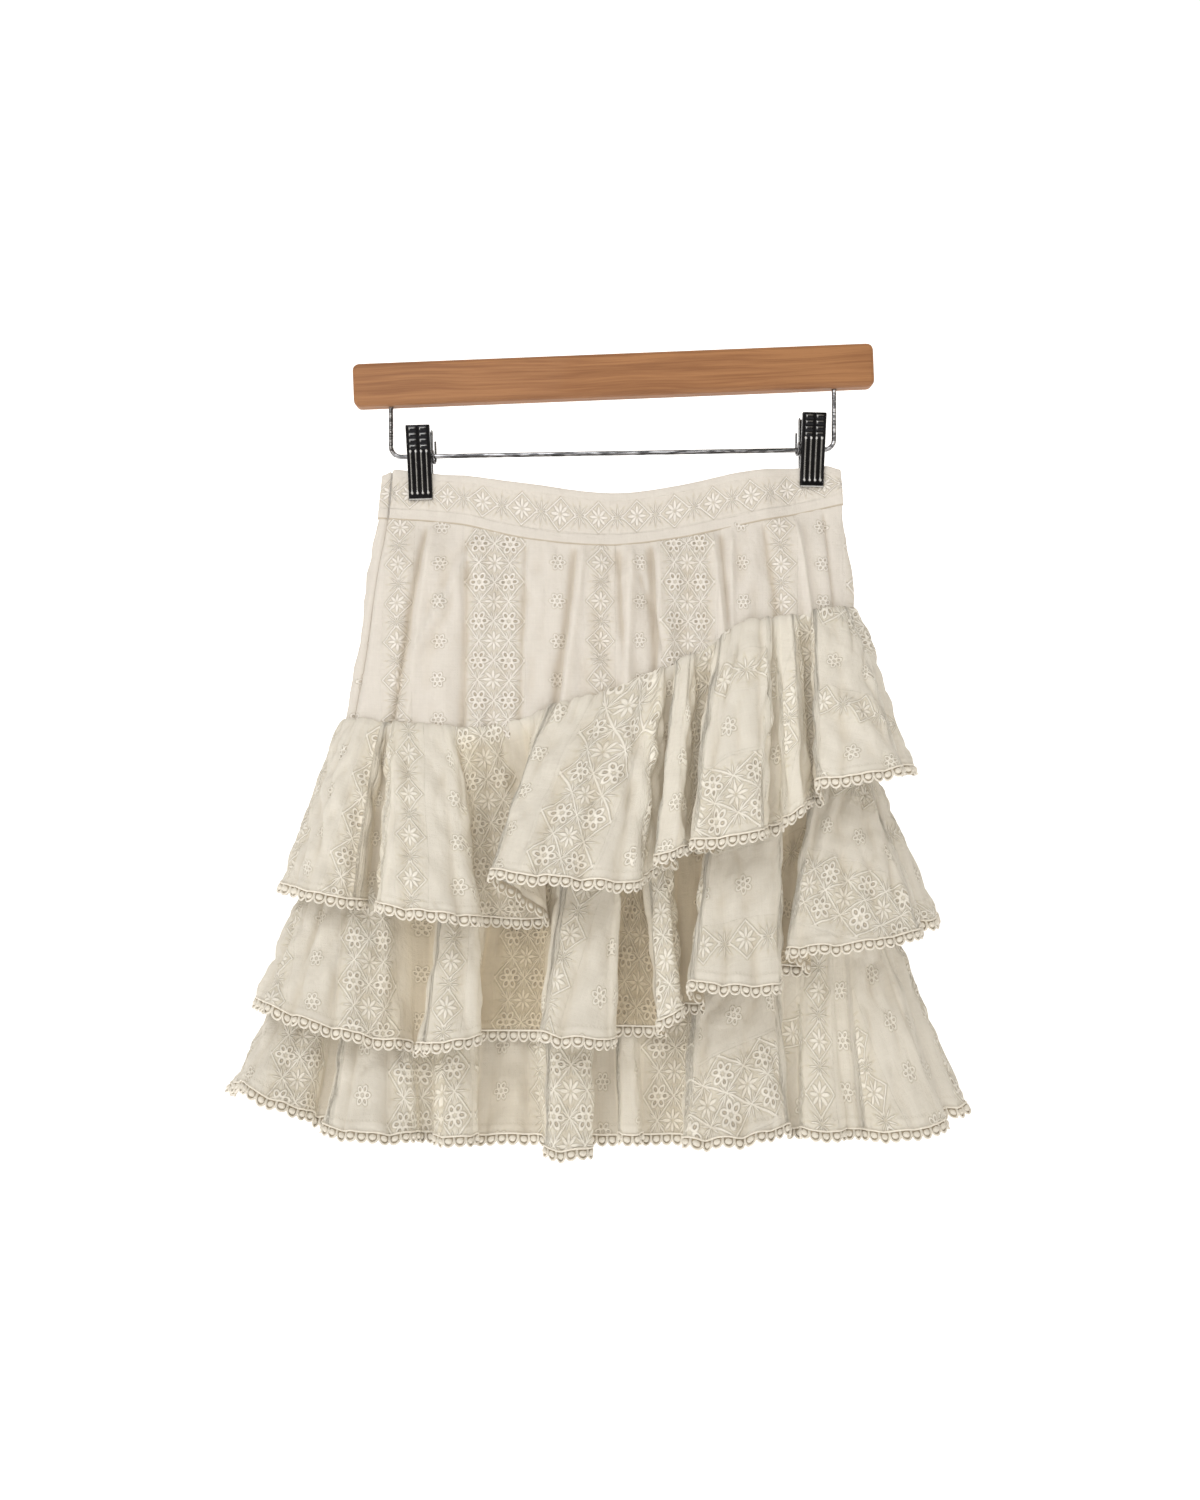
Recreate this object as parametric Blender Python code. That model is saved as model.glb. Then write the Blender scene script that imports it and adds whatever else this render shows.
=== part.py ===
"""A tiered ruffle skirt, pinched by two clips on a wooden skirt hanger.

The skirt is a flat, open tube: a shaped waistband, an underskirt below it, and three gathered
ruffles sewn round the underskirt, the upper two on a seam that climbs to the right. A bubble lace
edging closes each hem. The origin is the mouth of the hook's hole in the middle of the bar's top
edge. +X is to the right of somebody facing the front, -Y is towards them, +Z is up.

The tables and the formulas below are in millimetres and are scaled once, when a mesh is made.
"""

import math
from collections import namedtuple

import bmesh
import bpy
import numpy as np
from mathutils import Matrix, Vector

MM = 0.001

# ---------------------------------------------------------------- driving sizes
SEAM_GAP = 0.3  # between two pieces that meet
CLOTH = 1.5  # wall of the underskirt and of the ruffles
BAND_CLOTH = 2.0  # wall of the waistband, which is folded double
EDGING_GAP = 0.8
EDGING_DEPTH = 7.0  # how far the lace hangs below a hem
EDGING_CLOTH = 1.3
OVAL_POWER = 2.6  # how square the ends of the skirt's oval are
ZIP_SEAM = 0.09  # where the left side seam lies round the oval, 0 at the left end and 1 at the right
RIGHT_SEAM = 1.0
LEFT_END = 0.0  # the ruffles are joined at the very end of the oval instead
ZIP_WIDTH = 6.0
ZIP_THICKNESS = 1.2

BAR_LENGTH = 363.0
BAR_HEIGHT = 30.0
BAR_THICKNESS = 13.0
BAR_CORNER = 4.5
BAR_EDGE = 2.5
BAR_TILT = math.radians(2.3)
HOOK_HOLE_RADIUS = 3.0
HOOK_HOLE_DEPTH = 20.0
WIRE_RADIUS = 1.6
WIRE_REACH = 155.0
WIRE_BEND = 7.0
WIRE_SIDES = 12
WIRE_SOCKET = 10.0
WIRE_LEFT_Z = -71.0
WIRE_RIGHT_Z = -66.0
CLIP_WIDTH = 16.0
JAW_THICKNESS = 2.2
JAW_GRIP = 2.9  # from the middle plane to a jaw's inner face at the tip
JAW_GRIP_LENGTH = 11.0
JAW_PIVOT = 5.6  # the same at the wire
JAW_MOUTH = 9.5  # the same at the finger end
BARREL_RADIUS = 5.2
BARREL_BORE = 2.2
BARREL_LENGTH = 12.0
PINCH_HALF_WIDTH = 11.0  # how much of the waistband each clip holds flat
PINCH_FADE = 26.0
PINCH_LAYER = 1.5  # from the middle plane to the middle of a pinched waistband wall

# ---------------------------------------------------------------- tables
Section = namedtuple("Section", "z left right front back")
SECTIONS = (
    Section(-78, -160, 158, 12, 9),
    Section(-114, -163, 161, 14, 11),
    Section(-157, -171, 166, 20, 17),
    Section(-210, -178, 170, 25, 22),
    Section(-258, -187, 174, 27, 25),
    Section(-340, -199, 180, 28, 27),
    Section(-420, -210, 187, 30, 28),
    Section(-505, -222, 194, 32, 30),
)

WaistPoint = namedtuple("WaistPoint", "x top seam")
WAIST = (
    WaistPoint(-163, -79, -114),
    WaistPoint(-120, -84, -117),
    WaistPoint(-53, -93, -131),
    WaistPoint(2, -99, -135),
    WaistPoint(44, -94, -130),
    WaistPoint(90, -84, -120),
    WaistPoint(162, -77, -104),
)
UNDERSKIRT_HEM = -502.0

# Soft flutes that hang from the gathers at the waist: where one starts and ends, and its size.
Flute = namedtuple("Flute", "x_top x_hem half_width height")
FLUTES = (
    Flute(-141, -170, 9, 2.5),
    Flute(-112, -138, 13, 2.5),
    Flute(-84, -122, 9, 4.0),
    Flute(-52, -64, 16, 2.5),
    Flute(-24, -34, 7, 2.5),
    Flute(-10, -26, 7, 4.0),
    Flute(14, 2, 8, 3.0),
    Flute(33, 40, 7, 4.5),
    Flute(62, 74, 15, 2.5),
    Flute(93, 110, 8, 3.5),
    Flute(118, 140, 11, 2.5),
    Flute(144, 172, 8, 2.5),
)

Clip = namedtuple("Clip", "side x pivot_z top_z tip_z lean")
CLIPS = (
    Clip("left", -134.0, -70.7, -48.7, -100.7, 1.5),
    Clip("right", 139.0, -66.3, -39.7, -92.4, -1.3),
)

SeamPoint = namedtuple("SeamPoint", "x z")
# One row for each fold across the front, from left to right. seam_* is where the fold starts on the
# gathered seam, hem_* its two edges at the hem, front how far it stands towards the viewer, and
# tuck_* the two ends of the hollow that follows it, which can lie behind the folds beside it.
Fold = namedtuple("Fold", "seam_l seam_r hem_l hem_r front z_l z_r tuck_l tuck_r back z_tuck")
Tier = namedtuple("Tier", "name seam folds left right side_z depth back_reach back_folds swell")
TIERS = (
    Tier(
        "ruffle_1",
        (
            SeamPoint(-187, -256),
            SeamPoint(-77, -259),
            SeamPoint(-36, -248),
            SeamPoint(5, -235),
            SeamPoint(32, -223),
            SeamPoint(59, -210),
            SeamPoint(86, -194),
            SeamPoint(120, -186),
            SeamPoint(175, -177),
        ),
        (
            Fold(-176, -154, -208, -168, -56, -366, -374, -165, -156, -46, -376),
            Fold(-148, -113, -147, -88, -80, -374, -382, -94, -44, -50, -386),
            Fold(-39, 33, -77, 14, -90, -352, -359, 40, 46, -57, -348),
            Fold(43, 53, 26, 43, -87, -343, -337, 56, 70, -50, -338),
            Fold(74, 105, 50, 95, -88, -333, -326, 101, 106, -69, -325),
            Fold(112, 122, 112, 121, -73, -319, -311, 136, 141, -50, -307),
            Fold(138, 158, 131, 186, -76, -295, -286, 192, 198, -36, -286),
        ),
        -226,
        205,
        (-368, -287),
        118,
        73,
        6,
        1.0,
    ),
    Tier(
        "ruffle_2",
        (
            SeamPoint(-200, -342),
            SeamPoint(-60, -343),
            SeamPoint(0, -330),
            SeamPoint(60, -308),
            SeamPoint(110, -291),
            SeamPoint(182, -282),
        ),
        (
            Fold(-187, -138, -224, -132, -62, -443, -467, -131, -124, -56, -470),
            Fold(-120, -90, -121, -87, -84, -462, -457, -94, -46, -60, -461),
            Fold(-31, 6, -45, 0, -90, -454, -458, -4, 33, -60, -458),
            Fold(20, 31, 27, 42, -84, -448, -440, 45, 66, -60, -443),
            Fold(70, 112, 48, 106, -90, -422, -423, 104, 130, -58, -418),
            Fold(138, 168, 112, 196, -78, -403, -391, 203, 211, -40, -390),
        ),
        -243,
        222,
        (-446, -389),
        113,
        78,
        6,
        1.5,
    ),
    Tier(
        "ruffle_3",
        (
            SeamPoint(-210, -404),
            SeamPoint(-50, -405),
            SeamPoint(50, -399),
            SeamPoint(120, -390),
            SeamPoint(190, -385),
        ),
        (
            Fold(-200, -184, -243, -197, -58, -494, -514, -196, -188, -50, -517),
            Fold(-176, -141, -182, -126, -78, -517, -520, -123, -118, -70, -521),
            Fold(-128, -94, -113, -87, -82, -522, -520, -91, -46, -60, -520),
            Fold(-46, -12, -43, -13, -92, -526, -526, -16, 3, -62, -524),
            Fold(3, 12, 6, 18, -82, -521, -521, 18, 44, -60, -522),
            Fold(57, 116, 45, 111, -90, -523, -512, 112, 120, -68, -517),
            Fold(130, 145, 120, 148, -82, -517, -518, 149, 156, -70, -519),
            Fold(153, 176, 161, 214, -70, -522, -516, 221, 230, -40, -515),
        ),
        -260,
        243,
        (-508, -515),
        114,
        76,
        7,
        1.7,
    ),
)
BACK_RHYTHM = (1.0, 0.72, 1.12, 0.86, 1.06, 0.78, 0.95)  # how deep each fold on the back is
BACK_HOLLOW = 0.66  # depth of the hollows between them, as a share of the folds'
BACK_TUCK = 0.05  # how far a fold overhangs its hollow, as a share of the spacing
CREST_SWELL = 0.05  # how far a fold bulges, as a share of its width
FOLD_EDGE = 6.0  # how far behind its front a fold turns back
COLUMNS = 118  # round a ruffle
ROW_SHARES = (0.0, 0.05, 0.28, 0.52, 0.76, 1.0)  # down a ruffle
SHOULDER = 2.5  # a ruffle stands this far off just under its seam
UNDERSKIRT_COLUMNS = {"front": 53, "back": 29}
UNDERSKIRT_ROWS = (0.0, 0.06, 0.13, 0.22, 0.34, 0.5, 1.0)
BAND_COLUMNS = {"front": 37, "back": 29}
BAND_ROWS = (0.0, 0.5, 1.0)


# ---------------------------------------------------------------- formulas
def smooth(x, xs, ys):
    """A curve through the points (xs, ys), xs rising: a cubic Hermite with mean slopes."""
    xs = np.asarray(xs, float)
    ys = np.asarray(ys, float)
    slope = np.gradient(ys, xs)
    x = np.clip(x, xs[0], xs[-1])
    i = np.clip(np.searchsorted(xs, x, side="right") - 1, 0, len(xs) - 2)
    h = xs[i + 1] - xs[i]
    t = (x - xs[i]) / h
    near = (1 + 2 * t) * (1 - t) ** 2 * ys[i] + t * (1 - t) ** 2 * h * slope[i]
    far = t * t * (3 - 2 * t) * ys[i + 1] - t * t * (1 - t) * h * slope[i + 1]
    return near + far


def ease(t):
    """0 to 1 with level ends."""
    t = np.clip(t, 0, 1)
    return t * t * (3 - 2 * t)


def column(rows, name):
    """One column of a table; the rows of SECTIONS run downwards, so z is negated to rise."""
    return [getattr(row, name) for row in rows]


def section(z, name):
    """A size of the skirt's oval at height z."""
    return smooth(-np.asarray(z, float), [-row.z for row in SECTIONS], column(SECTIONS, name))


def waist(x, name):
    """Height of the waistband's top edge or of its lower seam at x."""
    return smooth(x, column(WAIST, "x"), column(WAIST, name))


def oval(m, z):
    """The underskirt's wall at m round the oval and height z.

    m runs 0 to 1 across the front from left to right, and 1 to 2 across the back. x follows a
    cosine and y a superellipse; the clips press both walls to the middle plane at the waist, and
    the flutes stand out of the front in soft humps that move sideways on the way down.
    """
    m, z = np.broadcast_arrays(np.asarray(m, float), np.asarray(z, float))
    left, right = section(z, "left"), section(z, "right")
    middle, half = (left + right) / 2, (right - left) / 2
    across = -np.cos(np.pi * m)
    x = middle + half * across
    roundness = (1 - np.abs(across) ** OVAL_POWER) ** (1 / OVAL_POWER)
    front = m <= 1
    y = np.where(front, -section(z, "front"), section(z, "back")) * roundness

    fade_in = ease((-118 - z) / 40) * ease((z + 330) / 70)
    fade_in = fade_in * ease((m - 0.02) / 0.08) * ease((0.98 - m) / 0.06)
    down = (z + 120) / (UNDERSKIRT_HEM + 120)
    for flute in FLUTES:
        centre = flute.x_top + (flute.x_hem - flute.x_top) * down
        width = flute.half_width * (1 + 0.5 * np.clip(down, 0, 1))
        y = y - np.where(front, flute.height * fade_in * np.exp(-(((x - centre) / width) ** 2)), 0)

    layer = np.where(front, -PINCH_LAYER, PINCH_LAYER)
    for clip in CLIPS:
        held = ease((PINCH_HALF_WIDTH + PINCH_FADE - np.abs(x - clip.x)) / PINCH_FADE)
        held = held * ease((z - clip.tip_z + 44) / 40)
        y = y + (layer - y) * held
    return x, y


def oval_place(x, z):
    """Where round the front (m from 0 to 1) the oval has this x at height z."""
    left, right = section(z, "left"), section(z, "right")
    across = (np.asarray(x, float) - (left + right) / 2) / ((right - left) / 2)
    return np.arccos(np.clip(-across, -1, 1)) / np.pi


def outward(m, z, step=0.004):
    """Unit normal of the oval in plan."""
    x0, y0 = oval(np.mod(m - step, 2), z)
    x1, y1 = oval(np.mod(m + step, 2), z)
    length = np.hypot(x1 - x0, y1 - y0)
    return (y1 - y0) / length, -(x1 - x0) / length


def loop_through(knots, samples):
    """A closed centripetal Catmull-Rom curve through the knots: samples per span, all columns."""
    lap = np.array([0, 0, 0, 2])
    ring = np.vstack([knots[-1:] - lap, knots, knots[:2] + lap])
    out = []
    for i in range(1, len(ring) - 2):
        p0, p1, p2, p3 = ring[i - 1 : i + 3]
        gaps = [max(math.dist(a[:2], b[:2]), 1.0) ** 0.5 for a, b in ((p0, p1), (p1, p2), (p2, p3))]
        t1 = gaps[0]
        t2 = t1 + gaps[1]
        t3 = t2 + gaps[2]
        t = np.linspace(t1, t2, samples, endpoint=False)[:, None]
        a1 = (t1 - t) / t1 * p0 + t / t1 * p1
        a2 = (t2 - t) / (t2 - t1) * p1 + (t - t1) / (t2 - t1) * p2
        a3 = (t3 - t) / (t3 - t2) * p2 + (t - t2) / (t3 - t2) * p3
        b1 = (t2 - t) / t2 * a1 + t / t2 * a2
        b2 = (t3 - t) / (t3 - t1) * a2 + (t - t1) / (t3 - t1) * a3
        out.append((t2 - t) / (t2 - t1) * b1 + (t - t1) / (t2 - t1) * b2)
    return np.vstack(out)


# ---------------------------------------------------------------- ruffles
def seam_height(tier, x):
    """Height of a ruffle's seam at x."""
    return smooth(x, column(tier.seam, "x"), column(tier.seam, "z"))


def front_knots(tier):
    """Points of the hem across the front, as (x, y, z, m of the seam).

    A fold gives its two edges, where the cloth turns back, and three points of its swelling
    front between them; the hollow after it gives its two ends.
    """
    for i, fold in enumerate(tier.folds):
        seams = np.array([fold.seam_l, fold.seam_r])
        m_l, m_r = oval_place(seams, seam_height(tier, seams))
        width = fold.hem_r - fold.hem_l
        for share in (0, 0.2, 0.5, 0.8, 1):
            x = fold.hem_l + width * share
            swell = FOLD_EDGE if share in (0, 1) else -CREST_SWELL * width * math.sin(math.pi * share)
            z = fold.z_l + (fold.z_r - fold.z_l) * share
            yield x, fold.front + swell, z, m_l + (m_r - m_l) * share
        m_next = 1.0
        if i + 1 < len(tier.folds):
            x_next = np.array([tier.folds[i + 1].seam_l])
            m_next = oval_place(x_next, seam_height(tier, x_next))[0]
        yield fold.tuck_l, fold.back, fold.z_tuck, m_r + (m_next - m_r) * 0.3
        yield fold.tuck_r, fold.back, fold.z_tuck, m_r + (m_next - m_r) * 0.7


def back_knots(tier):
    """Points of the hem across the back, from right to left: even folds of uneven depth."""
    start, end = tier.right - 22, tier.left + 24
    pitch = (end - start) / (tier.back_folds - 0.4)
    m_start, m_end = 1.05, 1.95
    for i in range(tier.back_folds):
        edge = abs(2 * (i + 0.5) / tier.back_folds - 1)
        reach = tier.back_reach * (0.7 + 0.3 * BACK_RHYTHM[i]) * (1 - 0.26 * edge**2)
        hollow = tier.back_reach * BACK_HOLLOW * (1 - 0.3 * edge**2)
        shape = (
            (-BACK_TUCK, 0.0, reach - FOLD_EDGE),
            (0.1, 0.12, reach),
            (0.28, 0.28, reach * 1.04),
            (0.46, 0.44, reach),
            (0.56 + BACK_TUCK, 0.56, reach - FOLD_EDGE),
            (0.61, 0.68, hollow),
            (0.93, 0.88, hollow),
        )
        for at_hem, at_seam, y in shape[: 5 if i == tier.back_folds - 1 else 7]:
            x = start + pitch * (i + at_hem)
            along = (i + at_seam) / (tier.back_folds - 0.44)
            z = seam_height(tier, np.array([x]))[0] - tier.depth
            yield x, y, z, m_start + (m_end - m_start) * along


def hem_loop(tier):
    """The hem as a closed loop of (x, y, z, m), starting at the left end of the oval."""
    left_z, right_z = tier.side_z
    knots = [(tier.left, -10, left_z, 0.012)]
    knots += list(front_knots(tier))
    knots += [(tier.right, -4, right_z, 1.0), (tier.right - 4, 26, right_z, 1.02)]
    knots += list(back_knots(tier))
    knots += [(tier.left + 4, 20, left_z, 1.98)]
    loop = loop_through(np.array([[float(v) for v in knot] for knot in knots]), 12)
    loop[:, 3] = np.maximum.accumulate(loop[:, 3])
    return loop


def hem_columns(tier, side):
    """Columns of the hem on one half, spaced closer where it bends."""
    loop = hem_loop(tier)
    start = np.argmax(loop[:, 3] >= LEFT_END)
    loop = np.vstack([loop[start:], loop[: start + 1] + [0, 0, 0, 2]])
    step = np.hypot(np.diff(loop[:, 0]), np.diff(loop[:, 1]))
    heading = np.unwrap(np.arctan2(np.diff(loop[:, 1]), np.diff(loop[:, 0])))
    turn = np.abs(np.append(np.diff(heading), 0))
    weight = np.concatenate([[0], np.cumsum(step + 16 * turn)])
    middle = np.interp(RIGHT_SEAM, loop[:, 3], weight)
    lows, highs = (0, middle) if side == "front" else (middle, weight[-1])
    count = max(8, round(COLUMNS * (highs - lows) / weight[-1]))
    places = np.linspace(lows, highs, count + 1)
    return np.stack([np.interp(places, weight, loop[:, k]) for k in range(4)], axis=1)


def ruffle_grid(tier, side):
    """The ruffle's middle surface as rows of points from its seam to its hem.

    Each column is a straight ray of a cone from its place on the seam to its place on the hem. It
    stands a shoulder off the underskirt just below the seam, and swells outwards on the way down.
    """
    hem = hem_columns(tier, side)
    m = np.mod(hem[:, 3], 2)
    front_m = np.where(m <= 1, m, 2 - m)
    level = np.full_like(m, tier.seam[0].z)
    for _ in range(4):
        x, _y = oval(front_m, level)
        level = seam_height(tier, x)
    x, y = oval(m, level)
    nx, ny = outward(m, level)
    off = CLOTH + SEAM_GAP * 2.5
    seam = np.stack([x + nx * off, y + ny * off, level], axis=1)
    rows = []
    for share in ROW_SHARES:
        swell = share**tier.swell
        shoulder = SHOULDER * math.sin(math.pi * share**0.5)
        row = seam + (hem[:, :3] - seam) * share
        row[:, 1] = seam[:, 1] + (hem[:, 1] - seam[:, 1]) * swell + ny * shoulder
        row[:, 0] += nx * shoulder
        rows.append(row)
    return trim_ends(np.array(rows))


def trim_ends(grid):
    """Holds the first and last column back by half the seam gap, so that two halves don't touch."""
    grid = grid.copy()
    for edge, inner in ((0, 1), (-1, -2)):
        along = grid[:, inner] - grid[:, edge]
        grid[:, edge] += along / np.linalg.norm(along, axis=1)[:, None] * (SEAM_GAP * 0.8)
    return grid


def edging_grid(tier, side):
    """The lace below a hem: the ruffle's last row carried on along its own slope."""
    rows = ruffle_grid(tier, side)
    along = rows[-1] - rows[-2]
    along[1:-1] = (along[:-2] + along[1:-1] * 2 + along[2:]) / 4
    along = along / np.linalg.norm(along, axis=1)[:, None]
    top = rows[-1] + along * EDGING_GAP
    return np.array([top, top + along * EDGING_DEPTH])


# ---------------------------------------------------------------- meshes
def finish(name):
    """A Principled material: colour, roughness and metallic value of one finish."""
    looks = {
        "cotton": ((0.86, 0.83, 0.74), 0.85, 0.0),
        "lace": ((0.90, 0.88, 0.81), 0.75, 0.0),
        "zip_tape": ((0.80, 0.77, 0.70), 0.6, 0.0),
        "beech": ((0.62, 0.36, 0.17), 0.45, 0.0),
        "chrome": ((0.35, 0.36, 0.38), 0.15, 1.0),
    }
    material = bpy.data.materials.get(name)
    if material is None:
        colour, roughness, metallic = looks[name]
        material = bpy.data.materials.new(name)
        material.use_nodes = True
        shader = material.node_tree.nodes["Principled BSDF"]
        shader.inputs["Base Color"].default_value = (*colour, 1)
        shader.inputs["Roughness"].default_value = roughness
        shader.inputs["Metallic"].default_value = metallic
        material.diffuse_color = (*colour, 1)
    return material


def add_object(name, mesh, material):
    """Links a finished mesh to the scene as the named piece."""
    piece = bpy.data.objects.new(name, mesh)
    bpy.context.scene.collection.objects.link(piece)
    mesh.materials.append(finish(material))
    return piece


def cloth_wall(name, grid, thickness, material):
    """A wall of the given thickness about a grid of middle points, rows by columns."""
    rows, columns = grid.shape[:2]
    bm = bmesh.new()
    points = [[bm.verts.new(Vector(p) * MM) for p in row] for row in grid]
    for i in range(rows - 1):
        for j in range(columns - 1):
            corners = (points[i][j], points[i + 1][j], points[i + 1][j + 1], points[i][j + 1])
            bm.faces.new(corners)
    mesh = bpy.data.meshes.new(name)
    bm.to_mesh(mesh)
    bm.free()
    mesh.shade_smooth()
    piece = add_object(name, mesh, material)
    wall = piece.modifiers.new("wall", "SOLIDIFY")
    wall.thickness = thickness * MM
    wall.offset = 0
    return piece


# ---------------------------------------------------------------- skirt
def half_places(side, count):
    """Values of m across the front or the back, held back from the side seams."""
    slit = 0.0012
    if side == "front":
        return np.linspace(ZIP_SEAM + slit, RIGHT_SEAM - slit, count)
    return np.linspace(RIGHT_SEAM + slit, 2 + ZIP_SEAM - slit, count)


def waist_heights(m):
    """Heights of the waistband's top edge and lower seam at m."""
    m = np.mod(m, 2)
    front_m = np.where(m <= 1, m, 2 - m)
    x, _y = oval(front_m, np.full_like(front_m, -114.0))
    return waist(x, "top"), waist(x, "seam")


def waistband(side):
    """The waistband's front or back: an oval strip between its top edge and its seam."""
    m = half_places(side, BAND_COLUMNS[side])
    top, seam = waist_heights(m)
    grid = []
    for share in BAND_ROWS:
        z = top + (seam - top) * share
        x, y = oval(np.mod(m, 2), z)
        grid.append(np.stack([x, y, z], axis=1))
    return cloth_wall(f"waistband_{side}", np.array(grid), BAND_CLOTH, "cotton")


def underskirt(side):
    """The underskirt's front or back panel, from the waist seam to its own straight hem."""
    m = half_places(side, UNDERSKIRT_COLUMNS[side])
    top = waist_heights(m)[1] - SEAM_GAP * 1.5
    grid = []
    for share in UNDERSKIRT_ROWS:
        z = top + (UNDERSKIRT_HEM - top) * share
        x, y = oval(np.mod(m, 2), z)
        grid.append(np.stack([x, y, z], axis=1))
    return cloth_wall(f"underskirt_{side}", np.array(grid), CLOTH, "cotton")


def side_zip():
    """The closed zip: a narrow strip behind the left side seam, from the waist down."""
    top, seam = waist_heights(np.array([ZIP_SEAM]))
    z = [top[0] - 3, seam[0]]
    z += [seam[0] + (UNDERSKIRT_HEM - seam[0]) * share for share in UNDERSKIRT_ROWS[1:5]]
    z = np.array(z)
    x, y = oval(np.full_like(z, ZIP_SEAM), z)
    nx, ny = outward(np.full_like(z, ZIP_SEAM), z)
    inset = BAND_CLOTH / 2 + SEAM_GAP * 2 + ZIP_THICKNESS / 2
    centre = np.stack([x - nx * inset, y - ny * inset], axis=1)
    grid = []
    for row in range(len(z)):
        along = np.array([-ny[row], nx[row]]) * ZIP_WIDTH / 2
        pair = (centre[row] + along, centre[row] - along)
        grid.append([(p[0], p[1], z[row]) for p in pair])
    return cloth_wall("side_zip", np.array(grid), ZIP_THICKNESS, "zip_tape")


# ---------------------------------------------------------------- hanger
def tilt(point):
    """A point of the level hanger, turned with the bar."""
    return Matrix.Rotation(-BAR_TILT, 3, "Y") @ Vector(point)


def drill(piece, name, radius, low, high):
    """Cuts a round blind hole along the line from low to high."""
    axis = Vector(high) - Vector(low)
    bpy.ops.mesh.primitive_cylinder_add(vertices=20, radius=radius * MM, depth=axis.length * MM)
    cutter = bpy.context.object
    cutter.name = name
    cutter.location = (Vector(low) + Vector(high)) / 2 * MM
    cutter.rotation_mode = "QUATERNION"
    cutter.rotation_quaternion = axis.to_track_quat("Z", "Y")
    cutter.hide_render = True
    cutter.display_type = "WIRE"
    cut = piece.modifiers.new(name, "BOOLEAN")
    cut.object = cutter
    cut.operation = "DIFFERENCE"


def hanger_bar():
    """The wooden bar: a board with round corners and eased edges, tilted a little."""
    mesh = bpy.data.meshes.new("hanger_bar")
    bm = bmesh.new()
    bmesh.ops.create_cube(bm, size=1)
    size = Matrix.Diagonal((BAR_LENGTH, BAR_THICKNESS, BAR_HEIGHT, 1))
    bmesh.ops.transform(bm, matrix=size, verts=bm.verts)
    corners = [e for e in bm.edges if abs(e.verts[0].co.y - e.verts[1].co.y) > 1]
    bmesh.ops.bevel(bm, geom=corners, offset=BAR_CORNER, segments=4, affect="EDGES", profile=0.5)
    rims = [
        e
        for e in bm.edges
        if abs(abs(e.verts[0].co.y) - BAR_THICKNESS / 2) < 0.01
        and abs(e.verts[0].co.y - e.verts[1].co.y) < 0.01
        and len({round(f.normal.y) for f in e.link_faces}) > 1
    ]
    bmesh.ops.bevel(bm, geom=rims, offset=BAR_EDGE, segments=2, affect="EDGES", profile=0.5)
    bmesh.ops.translate(bm, vec=(0, 0, -BAR_HEIGHT / 2), verts=bm.verts)
    bmesh.ops.transform(bm, matrix=Matrix.Rotation(-BAR_TILT, 4, "Y"), verts=bm.verts)
    bmesh.ops.scale(bm, vec=(MM, MM, MM), verts=bm.verts)
    bm.to_mesh(mesh)
    bm.free()
    mesh.shade_smooth()
    mesh.set_sharp_from_angle(angle=math.radians(35))
    bar = add_object("hanger_bar", mesh, "beech")
    drill(bar, "hook_hole", HOOK_HOLE_RADIUS, tilt((0, 0, 4)), tilt((0, 0, -HOOK_HOLE_DEPTH)))
    for side in (-1, 1):
        x = side * WIRE_REACH
        low = (x, 0, bar_underside(x) - 4)
        high = (x, 0, bar_underside(x) + WIRE_SOCKET + SEAM_GAP)
        drill(bar, f"wire_hole_{side}", WIRE_RADIUS + SEAM_GAP, low, high)
    return bar


def bar_underside(x):
    """Height of the tilted bar's underside at x."""
    return (x * math.sin(BAR_TILT) - BAR_HEIGHT) / math.cos(BAR_TILT)


def hanger_wire():
    """The round wire: down from one end of the bar, across under it, and up to the other end."""
    path = []
    for side, level in ((-1, WIRE_LEFT_Z), (1, WIRE_RIGHT_Z)):
        x = side * WIRE_REACH
        leg = [Vector((x, 0, bar_underside(x) + WIRE_SOCKET))]
        leg.append(Vector((x, 0, bar_underside(x) - 4)))
        centre = Vector((x - side * WIRE_BEND, 0, level + WIRE_BEND))
        for step in range(6):
            angle = math.pi / 2 * step / 5
            leg.append(centre + WIRE_BEND * Vector((side * math.cos(angle), 0, -math.sin(angle))))
        path += leg if side < 0 else leg[::-1]
    bm = bmesh.new()
    rings = []
    for i, place in enumerate(path):
        along = (path[min(i + 1, len(path) - 1)] - path[max(i - 1, 0)]).normalized()
        across = along.cross(Vector((0, 1, 0)))
        ring = []
        for step in range(WIRE_SIDES):
            angle = 2 * math.pi * step / WIRE_SIDES
            reach = across * math.cos(angle) + Vector((0, 1, 0)) * math.sin(angle)
            ring.append(bm.verts.new((place + reach * WIRE_RADIUS) * MM))
        rings.append(ring)
    for ring, following in zip(rings, rings[1:]):
        for i in range(WIRE_SIDES):
            j = (i + 1) % WIRE_SIDES
            bm.faces.new((ring[i], ring[j], following[j], following[i]))
    bm.faces.new(rings[0])
    bm.faces.new(rings[-1])
    bmesh.ops.recalc_face_normals(bm, faces=bm.faces)
    mesh = bpy.data.meshes.new("hanger_wire")
    bm.to_mesh(mesh)
    bm.free()
    mesh.shade_smooth()
    mesh.set_sharp_from_angle(angle=math.radians(50))
    return add_object("hanger_wire", mesh, "chrome")


def jaw_profile(clip, side):
    """The jaw's outline in the plane across the wire, as (y, z): tip, pivot and finger end."""
    inner = [
        (JAW_GRIP, clip.tip_z),
        (JAW_GRIP, clip.tip_z + JAW_GRIP_LENGTH),
        (JAW_PIVOT, clip.pivot_z),
        (JAW_MOUTH, clip.top_z),
    ]
    outer = [(y + JAW_THICKNESS, z) for y, z in inner]
    return [(side * y, z) for y, z in inner + outer[::-1]]


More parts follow.
